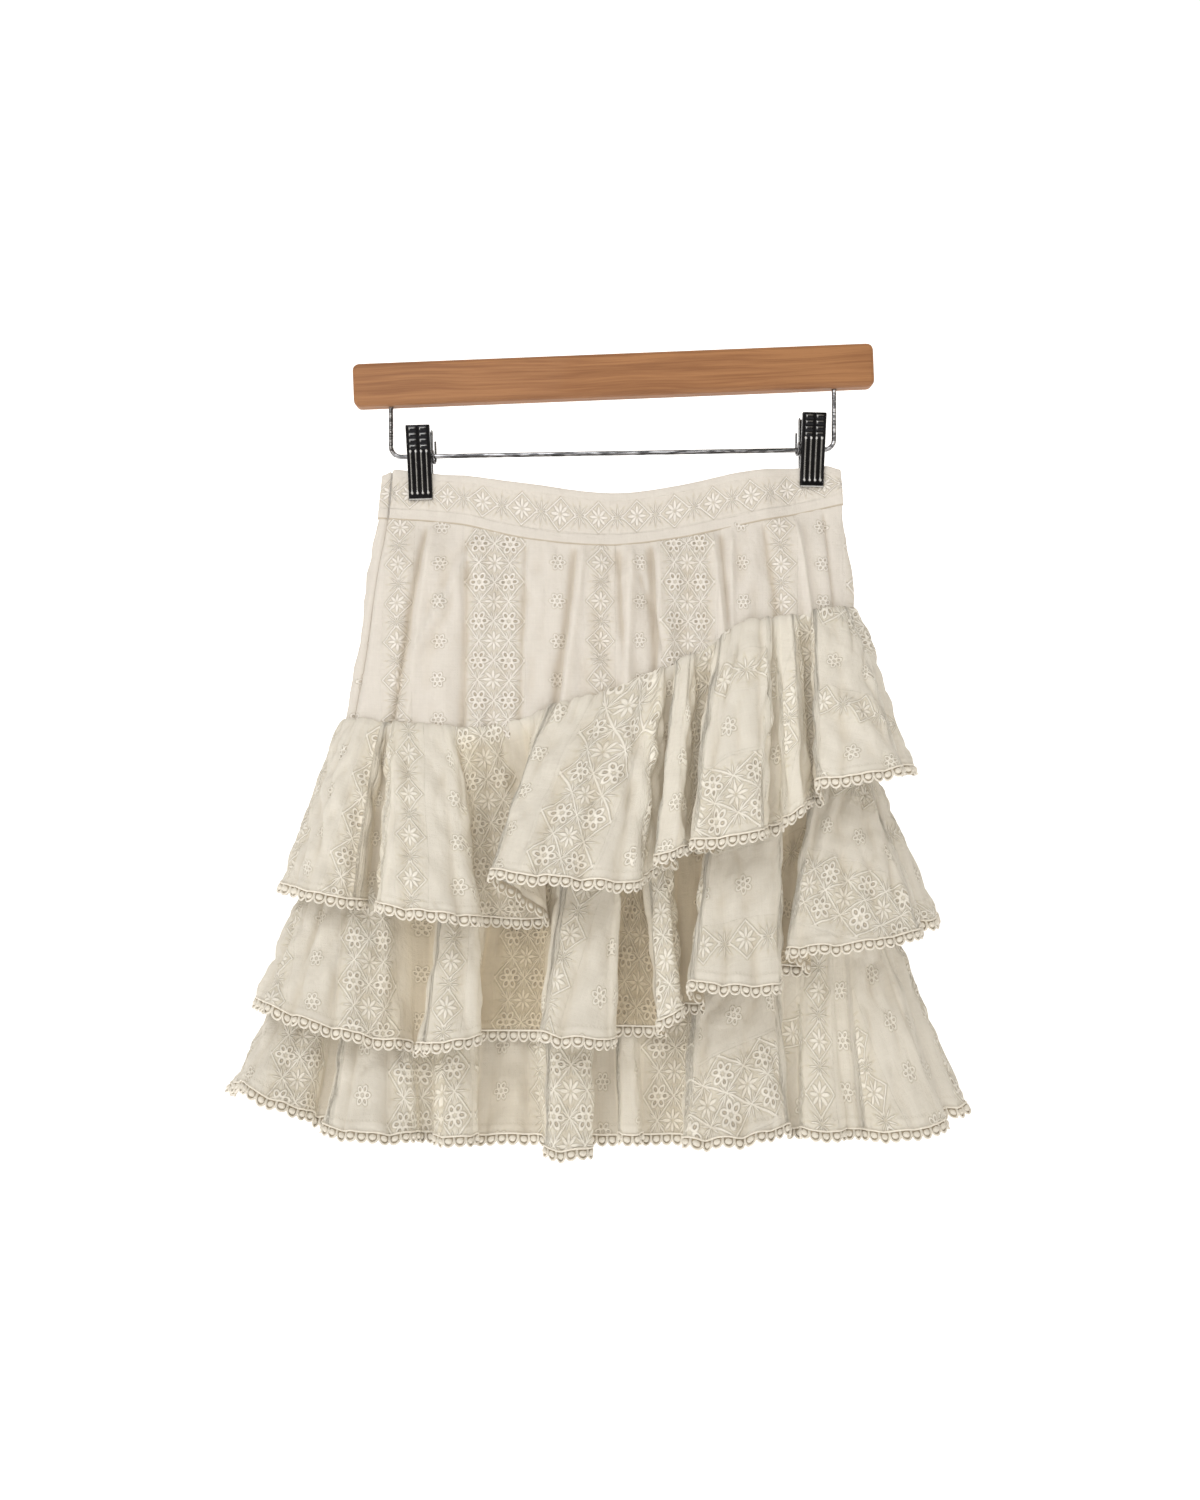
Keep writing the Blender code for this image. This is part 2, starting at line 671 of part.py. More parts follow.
def clip_jaw(clip, side, label):
    """One jaw: its outline across the wire, extruded to the clip's width."""
    profile = jaw_profile(clip, side)
    bm = bmesh.new()
    low = [bm.verts.new((-CLIP_WIDTH / 2, y, z)) for y, z in profile]
    face = bm.faces.new(low)
    made = bmesh.ops.extrude_face_region(bm, geom=[face])
    moved = [v for v in made["geom"] if isinstance(v, bmesh.types.BMVert)]
    bmesh.ops.translate(bm, vec=(CLIP_WIDTH, 0, 0), verts=moved)
    bmesh.ops.recalc_face_normals(bm, faces=bm.faces)
    name = f"clip_{clip.side}_{label}"
    return place_on_wire(name, bm, clip)


def place_on_wire(name, bm, clip):
    """Leans a piece of a clip about the wire, puts it in place and makes it an object."""
    bmesh.ops.translate(bm, vec=(0, 0, -clip.pivot_z), verts=bm.verts)
    lean = Matrix.Rotation(math.radians(clip.lean), 4, "Y")
    bmesh.ops.transform(bm, matrix=lean.inverted(), verts=bm.verts)
    bmesh.ops.translate(bm, vec=(clip.x, 0, clip.pivot_z), verts=bm.verts)
    bmesh.ops.scale(bm, vec=(MM, MM, MM), verts=bm.verts)
    mesh = bpy.data.meshes.new(name)
    bm.to_mesh(mesh)
    bm.free()
    return add_object(name, mesh, "chrome")


def clip_barrel(clip):
    """The spring barrel between the jaws, which rides on the wire."""
    bm = bmesh.new()
    steps = 16
    rings = []
    for x, radius in (
        (-BARREL_LENGTH / 2, BARREL_BORE),
        (-BARREL_LENGTH / 2, BARREL_RADIUS),
        (BARREL_LENGTH / 2, BARREL_RADIUS),
        (BARREL_LENGTH / 2, BARREL_BORE),
    ):
        ring = []
        for i in range(steps):
            angle = 2 * math.pi * (i + 0.5) / steps
            place = (x, radius * math.cos(angle), clip.pivot_z + radius * math.sin(angle))
            ring.append(bm.verts.new(place))
        rings.append(ring)
    for k in range(4):
        for i in range(steps):
            j = (i + 1) % steps
            bm.faces.new((rings[k][i], rings[k][j], rings[(k + 1) % 4][j], rings[(k + 1) % 4][i]))
    bmesh.ops.recalc_face_normals(bm, faces=bm.faces)
    return place_on_wire(f"clip_{clip.side}_barrel", bm, clip)


# ---------------------------------------------------------------- build
def main():
    for leftover in list(bpy.data.objects):
        bpy.data.objects.remove(leftover)
    for side in ("front", "back"):
        waistband(side)
        underskirt(side)
        for tier in TIERS:
            cloth_wall(f"{tier.name}_{side}", ruffle_grid(tier, side), CLOTH, "cotton")
            edging = tier.name.replace("ruffle", "edging")
            cloth_wall(f"{edging}_{side}", edging_grid(tier, side), EDGING_CLOTH, "lace")
    side_zip()
    hanger_bar()
    hanger_wire()
    for clip in CLIPS:
        clip_jaw(clip, -1, "front_jaw")
        clip_jaw(clip, 1, "back_jaw")
        clip_barrel(clip)


main()
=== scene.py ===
"""Dresses a tiered ruffle skirt on its clip hanger: cloth, lace, zip, clips, wood and light.

The skirt is built from the same tables and formulas as its solids, on finer grids. All tables are in
millimetres; meshes are scaled to metres once, when they are made. The origin is the mouth of the
hook's hole in the middle of the bar's top edge, +X to the right of somebody facing the front, -Y
towards them, +Z up.
"""

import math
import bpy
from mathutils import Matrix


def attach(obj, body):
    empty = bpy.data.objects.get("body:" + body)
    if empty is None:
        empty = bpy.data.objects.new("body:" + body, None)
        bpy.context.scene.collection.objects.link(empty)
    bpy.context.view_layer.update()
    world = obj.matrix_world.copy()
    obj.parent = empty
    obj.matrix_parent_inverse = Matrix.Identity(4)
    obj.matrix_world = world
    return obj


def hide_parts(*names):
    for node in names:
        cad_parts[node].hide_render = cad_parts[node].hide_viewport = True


bl_info = {
    "name": "Tiered Ruffle Skirt",
    "version": (1, 0, 0),
    "blender": (4, 5, 0),
    "location": "View3D > Sidebar > Skirt",
    "description": "Cloth, lace, zip, clips, wood and light for a tiered skirt on its hanger",
    "category": "Object",
}

from collections import namedtuple

import bpy
import numpy as np

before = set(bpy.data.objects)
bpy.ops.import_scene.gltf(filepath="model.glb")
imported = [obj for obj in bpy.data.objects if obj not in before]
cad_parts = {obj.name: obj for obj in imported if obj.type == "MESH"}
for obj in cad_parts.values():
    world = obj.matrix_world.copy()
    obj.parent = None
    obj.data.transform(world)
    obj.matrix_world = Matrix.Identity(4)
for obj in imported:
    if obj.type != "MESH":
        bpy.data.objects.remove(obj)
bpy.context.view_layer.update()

MM = 0.001
TAU = 2 * math.pi

# ---------------------------------------------------------------- sizes of the solids
OVAL_POWER = 2.6  # how square the ends of the skirt's oval are
ZIP_SEAM = 0.09  # where the left side seam lies round the oval, 0 at the left end and 1 at the right
PINCH_HALF_WIDTH = 11.0  # how much of the waistband each clip holds flat
PINCH_FADE = 26.0
PINCH_LAYER = 1.5  # from the middle plane to the middle of a pinched waistband wall
UNDERSKIRT_HEM = -502.0
BACK_RHYTHM = (1.0, 0.72, 1.12, 0.86, 1.06, 0.78, 0.95)  # how deep each fold on the back is
BACK_HOLLOW = 0.66  # depth of the hollows between them, as a share of the folds'
BACK_TUCK = 0.05  # how far a fold overhangs its hollow, as a share of the spacing
CREST_SWELL = 0.12  # how far a fold bulges, as a share of its width
FOLD_EDGE = 5.0  # how far behind its front a fold turns back
SHOULDER = (1.6, 4.4)  # a ruffle stands this far off under its seam, and so much more on a fold
ROLL = (2.2, 3.4)  # height of the roll over its seam, and so much more on a fold
BAR_TILT = math.radians(2.3)
KNOT_SAMPLES = 30  # points of a hem between two of its knots


def named(kind, *table):
    """Rows of numbers as rows with names."""
    return [kind(*row) for row in table]


Section = namedtuple("Section", "z left right front back")
SECTIONS = named(
    Section,
    (-78, -160, 158, 12, 9),
    (-114, -163, 161, 14, 11),
    (-157, -171, 166, 20, 17),
    (-210, -178, 170, 25, 22),
    (-258, -187, 174, 27, 25),
    (-340, -199, 180, 28, 27),
    (-420, -210, 187, 30, 28),
    (-505, -222, 194, 32, 30),
)

WaistPoint = namedtuple("WaistPoint", "x top seam")
WAIST = named(
    WaistPoint,
    (-163, -79, -114),
    (-120, -84, -117),
    (-53, -93, -131),
    (2, -99, -135),
    (44, -94, -130),
    (90, -84, -120),
    (162, -77, -104),
)

# Soft flutes that hang from the gathers at the waist: where one starts and ends, and its size.
Flute = namedtuple("Flute", "x_top x_hem half_width height")
FLUTES = named(
    Flute,
    (-141, -170, 9, 2.5),
    (-112, -138, 13, 2.5),
    (-84, -122, 9, 4.0),
    (-52, -64, 16, 2.5),
    (-24, -34, 7, 2.5),
    (-10, -26, 7, 4.0),
    (14, 2, 8, 3.0),
    (33, 40, 7, 4.5),
    (62, 74, 15, 2.5),
    (93, 110, 8, 3.5),
    (118, 140, 11, 2.5),
    (144, 172, 8, 2.5),
)

# Creased pleats across the front of the underskirt, each on a straight line from its top to its
# end; a negative height is a hollow crease.
Pleat = namedtuple("Pleat", "x_top z_top x_end z_end half_width height")
PLEATS = named(
    Pleat,
    (-97, -137, -128, -197, 4.5, 3.2),
    (-100, -137, -103, -252, 3.5, -2.4),
    (-125, -125, -141, -262, 6.5, 2.6),
    (-130, -125, -152, -262, 4.0, -3.0),
    (-60, -128, -63, -242, 2.6, -1.7),
    (-25, -134, -39, -250, 3.2, -2.4),
    (-19, -134, -34, -250, 4.2, 3.0),
    (3, -135, 6, -192, 2.4, -1.8),
    (13, -135, 9, -236, 3.2, 2.8),
    (26, -133, 28, -226, 2.6, -3.6),
    (20, -160, 30, -196, 2.2, -1.8),
    (31, -132, 32, -180, 2.6, 2.0),
    (68, -126, 75, -208, 3.6, 2.6),
    (74, -126, 81, -208, 2.4, -1.8),
    (82, -124, 80, -200, 3.2, 2.2),
    (104, -118, 112, -180, 3.4, -2.2),
    (126, -113, 134, -176, 4.0, 2.4),
    (147, -110, 154, -172, 3.0, -2.0),
)

Clip = namedtuple("Clip", "side x pivot_z top_z tip_z lean")
CLIPS = named(
    Clip,
    ("left", -134.6, -71.6, -50.9, -102.2, 1.8),
    ("right", 139.4, -65.6, -42.2, -93.2, -1.2),
)

SeamPoint = namedtuple("SeamPoint", "x z")
# One row for each fold across the front, from left to right: its two ends on the gathered seam, its
# two edges at the hem, how far it stands forward, and the two ends of the hollow that follows it.
Fold = namedtuple("Fold", "seam_l seam_r hem_l hem_r front z_l z_r tuck_l tuck_r back z_tuck")
Tier = namedtuple("Tier", "name seam folds left right side_z depth back_reach back_folds swell")
TIERS = (
    Tier(
        name="ruffle_1",
        seam=named(
            SeamPoint,
            (-187, -256), (-77, -259), (-36, -248), (5, -235), (32, -223),
            (59, -210), (86, -194), (120, -186), (175, -177),
        ),
        folds=named(
            Fold,
            (-176, -154, -208, -168, -58, -366, -374, -165, -156, -36, -376),
            (-148, -113, -147, -88, -82, -374, -382, -94, -44, -44, -386),
            (-39, 33, -77, 14, -90, -352, -359, 34, 42, -50, -348),
            (43, 53, 26, 43, -87, -343, -337, 53, 66, -42, -338),
            (74, 105, 50, 95, -88, -333, -326, 99, 106, -60, -325),
            (112, 122, 112, 121, -75, -319, -311, 132, 139, -42, -307),
            (138, 158, 131, 186, -76, -295, -286, 192, 198, -36, -286),
        ),
        left=-226,
        right=205,
        side_z=(-368, -287),
        depth=118,
        back_reach=73,
        back_folds=6,
        swell=1.0,
    ),
    Tier(
        name="ruffle_2",
        seam=named(
            SeamPoint,
            (-200, -342), (-60, -343), (0, -330), (60, -308), (110, -291),
            (182, -282),
        ),
        folds=named(
            Fold,
            (-187, -145, -224, -132, -62, -443, -467, -131, -124, -56, -470),
            (-111, -93, -122, -86, -86, -462, -457, -94, -46, -52, -461),
            (-29, 4, -45, 0, -91, -454, -458, -4, 33, -52, -458),
            (23, 31, 27, 42, -86, -448, -440, 43, 60, -50, -443),
            (70, 112, 48, 106, -91, -422, -423, 104, 130, -50, -418),
            (138, 168, 112, 196, -78, -403, -391, 203, 211, -40, -390),
        ),
        left=-243,
        right=222,
        side_z=(-446, -389),
        depth=113,
        back_reach=78,
        back_folds=6,
        swell=1.5,
    ),
    Tier(
        name="ruffle_3",
        seam=named(
            SeamPoint,
            (-210, -404), (-50, -405), (50, -399), (120, -390), (190, -385),
        ),
        folds=named(
            Fold,
            (-200, -184, -243, -197, -58, -494, -514, -196, -188, -50, -518),
            (-172, -145, -182, -126, -80, -517, -520, -125, -118, -64, -524),
            (-118, -98, -113, -87, -82, -522, -521, -91, -46, -64, -526),
            (-44, -18, -43, -13, -90, -527, -527, -16, 3, -64, -526),
            (3, 9, 4, 18, -76, -522, -522, 18, 44, -62, -526),
            (62, 108, 45, 111, -88, -522, -513, 112, 120, -68, -520),
            (130, 145, 120, 148, -82, -517, -518, 149, 156, -70, -520),
            (156, 176, 161, 214, -70, -522, -516, 221, 230, -40, -515),
        ),
        left=-260,
        right=243,
        side_z=(-508, -515),
        depth=114,
        back_reach=76,
        back_folds=7,
        swell=2.0,
    ),
)

# How each ruffle drapes: the power that its folds spread with below the seam, under 1 where they
# spread quickly and then hang straighter, and how strongly painted shade darkens its hollows.
Drape = namedtuple("Drape", "bell tint")
DRAPES = {"ruffle_1": Drape(0.72, 0.44), "ruffle_2": Drape(1.0, 1.0), "ruffle_3": Drape(1.05, 0.42)}

# ---------------------------------------------------------------- sizes of the visible pieces
FABRIC = 0.7  # thickness of the cotton
RUFFLE_COLUMNS = 960
RUFFLE_ROWS = 40
BEND_WEIGHT = 12.0  # millimetres of hem that one radian of bend is worth when columns are spaced
SKIRT_COLUMNS = (400, 220)  # across the front and across the back
SKIRT_ROWS = 46
BAND_COLUMNS = (300, 220)
SKIRT_SLIT = 0.0012  # half the zip's opening, as a share of the way across the front
BAND_SLIT = 0.004
BAND_HALF = 0.95  # half the thickness of the folded waistband
BAND_STRIP = 8.0  # height of the plain strip below the embroidered one
PLEAT_DEPTH = 1.8  # how much sharper the pleats are in thin cloth
PLEAT_WIDTH = 0.8  # and their width there, as a share of the solid's
CORNER_DROP = 5.0  # how far the band's top edge is rounded off at its left end
BAND_STRIPE = 17.6  # height of the middle of its embroidery above the lower seam
TRIM_DEPTH = 7.6  # from the hem to the lowest point of a lace scallop
CORD_RADIUS = 0.75  # of the cord along the hem
LOOP_RADIUS = 0.72  # of the corded loop round each scallop
LOOP_POINTS = 10
BALL_SIZE = (2.4, 2.2, 1.5)  # half of a satin ball's width and height, and how far it stands out
BALL_DROP = 3.3  # from the hem to the middle of a ball
# The ground's own place on the map lets it take the painted shade of the lace's gaps.
GROUND_SHIFT = 500.0  # the lace's ground lies this far along its map, so that it takes its own tone
SEAM_SINK = 0.3  # how far a ruffle's sewn edge lies inside the underskirt's surface

# Wavelengths of a ruffle's unevenness and how far its gathers reach down.
FINE_GATHER, BROAD_GATHER, GATHER_GROUP = 19.0, 37.0, 130.0
SOFT_FOLD, CREASE, CRUMPLE, DENT = 62.0, 38.0, 24.0, 14.0
GATHER_REACH = 34.0
SOFT_FOLD_HEIGHT = 1.9

PLATE_CORNER = 1.3  # radius of the bend between a clip's face and its flanges
PLATE_FLANGE = 4.2
PLATE_STEEL = 0.9
PLATE_OFF = (11.7, 8.0, 5.6, 5.2)  # off the wire's axis at its top, the wire, the jaw and the tip
JAW_HEIGHT = 11.0  # from the tip to where the plate bends in
RIBS = (-5.55, -1.85, 1.85, 5.55)
RIB_ENDS = (33.4, 5.0)  # above the tip
BUMP_COLUMNS = (-3.65, 3.65)
BUMP_ROWS = (3.4, 7.4, 11.3, 15.2)  # below the top
SPRING_TURNS = 9
SPRING_RADIUS = 4.3
SPRING_WIRE = 0.75
SPRING_LENGTH = 16.0
SPRING_SHIFT = 2.4  # how far the spring lies towards the middle of the hanger
SPRING_LEG = 12
BAR_LOW_EDGE = -26.6  # height of the bar's lower edge before it is tilted

# The embroidery repeats across the cloth: a narrow and a wide lattice stripe, with flowers between.
STRIPE_REPEAT = 142.0
WIDE_STRIPE = 68.0
LATTICE_HALF = 10.3  # half the width of a lattice diamond
DIAMOND = (9.8, 10.4)  # half the width and height of the single diamonds in a narrow stripe
LATTICE_PITCH = 26.9
FLOWER_COLUMN = 30.0  # from the middle of a narrow stripe to the small flowers beside it
FLOWER = (8, 3.8, 2.7, 1.05)  # number of petals, their distance, half length and half width
STAR = (10, 3.8, 2.6, 0.45)
ROSE = (4.25, 1.25, 0.88)  # distance, half length and half width of a rosette's six holes
SMALL_FLOWER = (3.3, 0.95, 0.7)
THREAD_HALF = 0.6  # half the width of a lattice line
FAR_OFF = 6.0  # a distance at which no thread shows

# A ruffle's cloth is mapped as sectors of a ring with this hem radius, on its folds and at its back.
FOLD_RADIUS = 300.0
BACK_RADIUS = 400.0
FOLD_KNOTS = 7  # knots of the hem from one fold to the next: five on its front, two in its hollow
MAP_MIX = 12.0  # length of hem over which the maps of a fold and a hollow are mixed
MAP_REACH = 99.0  # how far the first and the last map reach past the ends of the hem
MAP_STEP = 5.0  # how much further down the cloth each fold's map lies than the one before

HEM_STITCH = 5.2  # height of the stitching line above a ruffle's hem
STITCH_PITCH = 2.4

# Where the embroidery lies on each ruffle, a row for each fold: place in the repeat at the middle of
# the fold, degrees that the stripes lean off the cloth's drop, and the same for the hollow after it.
Patch = namedtuple("Patch", "fold_u fold_lean hollow_u hollow_lean")
PATCHES = {
    "ruffle_1": named(
        Patch,
        (50, 4, -26, 0),
        (10, 1, 74, -4),
        (74, 11, 118, 4),
        (32, 10, 66, 0),
        (88, 80, 52, 40),
        (20, 20, 66, 0),
        (42, 112, 30, 90),
    ),
    "ruffle_2": named(
        Patch,
        (47, -8, 112, 0),
        (4, 2, 59, 0),
        (25, 16, 68, 6),
        (64, -4, 104, 0),
        (22, 84, 60, 70),
        (91, 112, 60, 90),
    ),
    "ruffle_3": named(
        Patch,
        (55, -13, 96, -6),
        (37, 0, 60, 0),
        (78, -3, 117, 0),
        (68, 2, 112, 0),
        (20, 0, 60, 0),
        (89, 76, 30, 40),
        (2, 2, 30, 0),
        (10, -15, 40, 0),
    ),
}

# Where the embroidery lies on the underskirt: x across the front against place in the repeat.
STRIPE_PLACES = ((-148, 0), (-81, 68), (-8, 142), (51, 210), (115, 284))


# ---------------------------------------------------------------- formulas of the solids
def smooth(x, xs, ys):
    """A curve through the points (xs, ys), xs rising: a cubic Hermite with mean slopes."""
    xs = np.asarray(xs, float)
    ys = np.asarray(ys, float)
    slope = np.gradient(ys, xs)
    x = np.clip(x, xs[0], xs[-1])
    i = np.clip(np.searchsorted(xs, x, side="right") - 1, 0, len(xs) - 2)
    h = xs[i + 1] - xs[i]
    t = (x - xs[i]) / h
    near = (1 + 2 * t) * (1 - t) ** 2 * ys[i] + t * (1 - t) ** 2 * h * slope[i]
    far = t * t * (3 - 2 * t) * ys[i + 1] - t * t * (1 - t) * h * slope[i + 1]
    return near + far


def ease(t):
    """0 to 1 with level ends: 3t² - 2t³."""
    t = np.clip(t, 0, 1)
    return t * t * (3 - 2 * t)


def column(rows, name):
    """One column of a table."""
    return [getattr(row, name) for row in rows]


def section(z, name):
    """A size of the skirt's oval at height z."""
    return smooth(-np.asarray(z, float), [-row.z for row in SECTIONS], column(SECTIONS, name))


def waist(x, name):
    """Height of the waistband's top edge or of its lower seam at x."""
    return smooth(x, column(WAIST, "x"), column(WAIST, name))


def oval(m, z):
    """The underskirt's wall at m round the oval and height z, as (x, y).

    x = middle - half * cos(pi m); y = depth * (1 - |cos|^power)^(1/power), then flutes as soft
    humps that move sideways on the way down, and both walls pressed to the middle at the clips.
    """
    m, z = np.broadcast_arrays(np.asarray(m, float), np.asarray(z, float))
    left, right = section(z, "left"), section(z, "right")
    middle, half = (left + right) / 2, (right - left) / 2
    across = -np.cos(np.pi * m)
    x = middle + half * across
    roundness = (1 - np.minimum(np.abs(across), 1) ** OVAL_POWER) ** (1 / OVAL_POWER)
    front = m <= 1
    y = np.where(front, -section(z, "front"), section(z, "back")) * roundness

    fade_in = ease((-118 - z) / 40) * ease((z + 330) / 70)
    fade_in = fade_in * ease((m - 0.02) / 0.08) * ease((0.98 - m) / 0.06)
    down = (z + 120) / (UNDERSKIRT_HEM + 120)
    for flute in FLUTES:
        centre = flute.x_top + (flute.x_hem - flute.x_top) * down
        width = flute.half_width * (1 + 0.5 * np.clip(down, 0, 1))
        y = y - np.where(front, flute.height * fade_in * np.exp(-(((x - centre) / width) ** 2)), 0)

    layer = np.where(front, -PINCH_LAYER, PINCH_LAYER)
    for clip in CLIPS:
        held = ease((PINCH_HALF_WIDTH + PINCH_FADE - np.abs(x - clip.x)) / PINCH_FADE)
        held = held * ease((z - clip.tip_z + 44) / 40)
        y = y + (layer - y) * held
    return x, y


def oval_place(x, z):
    """Where round the front (m from 0 to 1) the oval has this x at height z: arccos(-x) / pi."""
    left, right = section(z, "left"), section(z, "right")
    across = (np.asarray(x, float) - (left + right) / 2) / ((right - left) / 2)
    return np.arccos(np.clip(-across, -1, 1)) / np.pi


def outward(m, z, step=0.004):
    """Unit normal of the oval in plan, from the chord between two near places."""
    x0, y0 = oval(np.mod(m - step, 2), z)
    x1, y1 = oval(np.mod(m + step, 2), z)
    length = np.hypot(x1 - x0, y1 - y0)
    return (y1 - y0) / length, -(x1 - x0) / length


def loop_through(knots, samples):
    """A closed centripetal Catmull-Rom curve through the knots: samples per span, all columns."""
    lap = np.array([0, 0, 0, 2])
    ring = np.vstack([knots[-1:] - lap, knots, knots[:2] + lap])
    p0, p1, p2, p3 = (ring[k : len(ring) - 3 + k] for k in range(4))

    def gap(a, b):
        return np.maximum(np.hypot(*(a - b)[:, :2].T), 1.0) ** 0.5

    t1 = gap(p0, p1)
    t2 = t1 + gap(p1, p2)
    t3 = t2 + gap(p2, p3)
    t = t1 + (t2 - t1) * np.linspace(0, 1, samples, endpoint=False)[:, None]
    t, t1, t2, t3 = (value[..., None] for value in (t, t1, t2, t3))
    a1 = (t1 - t) / t1 * p0 + t / t1 * p1
    a2 = (t2 - t) / (t2 - t1) * p1 + (t - t1) / (t2 - t1) * p2
    a3 = (t3 - t) / (t3 - t2) * p2 + (t - t2) / (t3 - t2) * p3
    b1 = (t2 - t) / t2 * a1 + t / t2 * a2
    b2 = (t3 - t) / (t3 - t1) * a2 + (t - t1) / (t3 - t1) * a3
    curve = (t2 - t) / (t2 - t1) * b1 + (t - t1) / (t2 - t1) * b2
    return curve.swapaxes(0, 1).reshape(-1, knots.shape[1])


def seam_height(tier, x):
    """Height of a ruffle's seam at x."""
    return smooth(x, column(tier.seam, "x"), column(tier.seam, "z"))


def front_knots(tier):
    """Points of the hem across the front, as (x, y, z, m of the seam): for each fold its two edges,
    three points of its swelling front, and the two ends of the hollow after it."""
    for i, fold in enumerate(tier.folds):
        seams = np.array([fold.seam_l, fold.seam_r])
        m_l, m_r = oval_place(seams, seam_height(tier, seams))
        width = fold.hem_r - fold.hem_l
        for share in (0, 0.2, 0.5, 0.8, 1):
            x = fold.hem_l + width * share
            swell = FOLD_EDGE if share in (0, 1) else -CREST_SWELL * width * math.sin(math.pi * share)
            z = fold.z_l + (fold.z_r - fold.z_l) * share
            yield x, fold.front + swell, z, m_l + (m_r - m_l) * share
        m_next = 1.0
        if i + 1 < len(tier.folds):
            x_next = np.array([tier.folds[i + 1].seam_l])
            m_next = oval_place(x_next, seam_height(tier, x_next))[0]
        yield fold.tuck_l, fold.back, fold.z_tuck, m_r + (m_next - m_r) * 0.3
        yield fold.tuck_r, fold.back, fold.z_tuck, m_r + (m_next - m_r) * 0.7


def back_knots(tier):
    """Points of the hem across the back, from right to left: even folds of uneven depth."""
    start, end = tier.right - 22, tier.left + 24
    pitch = (end - start) / (tier.back_folds - 0.4)
    m_start, m_end = 1.05, 1.95
    for i in range(tier.back_folds):
        edge = abs(2 * (i + 0.5) / tier.back_folds - 1)
        reach = tier.back_reach * (0.7 + 0.3 * BACK_RHYTHM[i]) * (1 - 0.26 * edge**2)
        hollow = tier.back_reach * BACK_HOLLOW * (1 - 0.3 * edge**2)
        shape = (
            (-BACK_TUCK, 0.0, reach - FOLD_EDGE),
            (0.1, 0.12, reach),
            (0.28, 0.28, reach * 1.04),
            (0.46, 0.44, reach),
            (0.56 + BACK_TUCK, 0.56, reach - FOLD_EDGE),
            (0.61, 0.68, hollow),
            (0.93, 0.88, hollow),
        )
        for at_hem, at_seam, y in shape[: 5 if i == tier.back_folds - 1 else 7]:
            x = start + pitch * (i + at_hem)
            along = (i + at_seam) / (tier.back_folds - 0.44)
            z = seam_height(tier, np.array([x]))[0] - tier.depth
            yield x, y, z, m_start + (m_end - m_start) * along


def hem_loop(tier):
    """The hem as a closed loop of (x, y, z, m), starting at the left end of the oval."""
    left_z, right_z = tier.side_z
    knots = [(tier.left, -10, left_z, 0.012)]
    knots += list(front_knots(tier))
    knots += [(tier.right, -4, right_z, 1.0), (tier.right - 4, 26, right_z, 1.02)]
    knots += list(back_knots(tier))
    knots += [(tier.left + 4, 20, left_z, 1.98)]
    loop = loop_through(np.array([[float(v) for v in knot] for knot in knots]), KNOT_SAMPLES)
    loop[:, 3] = np.maximum.accumulate(loop[:, 3])
    return loop


def pleats(m, x, z):
    """How far the pleats lift the underskirt's front: height * exp(-|distance / width|^1.5), fading
    over 30 mm below each pleat's end and 6 mm above its top."""
    lift = np.zeros(np.broadcast(m, x, z).shape)
    for pleat in PLEATS:
        down = (z - pleat.z_top) / (pleat.z_end - pleat.z_top)
        off = (x - pleat.x_top - (pleat.x_end - pleat.x_top) * down) / (PLEAT_WIDTH * pleat.half_width)
        there = ease((pleat.z_top + 6 - z) / 6) * ease((z - pleat.z_end + 30) / 30)
        lift = lift + pleat.height * there * np.exp(-(np.abs(off) ** 1.5))
    return np.where(m <= 1, lift, 0)


# ---------------------------------------------------------------- surfaces
def ripple(around, down, length, wavelength, seed, lean=1.0):
    """A soft unevenness between about -1 and 1: eight sine waves of about the wavelength, each with
    a whole number of crests round the ring, so that its ends meet. around runs 0 to 1 round the
    ring of the given length, down is in millimetres, and lean is how far the crests may turn."""
    draw = np.random.default_rng(seed)
    turn = draw.uniform(-1.2, 1.2, 8) * lean
    size = draw.uniform(0.75, 1.35, 8)
    crests = np.round(length / wavelength * size * np.cos(turn))
    falls = np.sin(turn) * size / wavelength
    phase = draw.uniform(0, TAU, 8)
    waves = np.sin(TAU * (around[..., None] * crests + down[..., None] * falls) + phase)
    return waves.sum(axis=-1) / 3.2


def billow(wave):
    """Round hills with sharp valleys between them, as gathered cloth has: 1 - 2 (1 - |wave|)^1.6."""
    return 1 - 2 * np.clip(1 - np.abs(wave), 0, 1) ** 1.6


def normals(points, closed):
    """Unit normals of a grid (rows running down, columns to the right seen from outside): the cross
    product of the steps down and to the right."""
    if closed:
        right = np.roll(points, -1, 1) - np.roll(points, 1, 1)
    else:
        right = np.gradient(points, axis=1)
    normal = np.cross(np.gradient(points, axis=0), right)
    return normal / np.maximum(np.linalg.norm(normal, axis=-1, keepdims=True), 1e-9)


def blur(values, times):
    """A closed row of values, each averaged with its neighbours, a number of times."""
    for _ in range(times):
        values = (np.roll(values, 1, 0) + 2 * values + np.roll(values, -1, 0)) / 4
    return values


def dips(lift, times, depth):
    """How far each point of a grid lies below its neighbours along the row and how far above them,
    as shares of the depth from 0 to 1."""
    dip = (blur(lift.T, times).T - lift) / depth
    return np.clip(dip, 0, 1), np.clip(-dip, 0, 1)


def running_length(points):
    """Length along a line of points from its first one."""
    steps = np.linalg.norm(np.diff(points, axis=0), axis=-1)
    return np.concatenate([[0], np.cumsum(steps)])


def grid_faces(rows, columns, closed=False):
    """Quads of a grid of points, row after row; closed joins the last column to the first."""
    r = np.arange(rows - 1)[:, None]
    c = np.arange(columns if closed else columns - 1)[None, :]
    d = (c + 1) % columns
    quads = (r * columns + c, (r + 1) * columns + c, (r + 1) * columns + d, r * columns + d)
    return np.stack(quads, axis=-1).reshape(-1, 4)


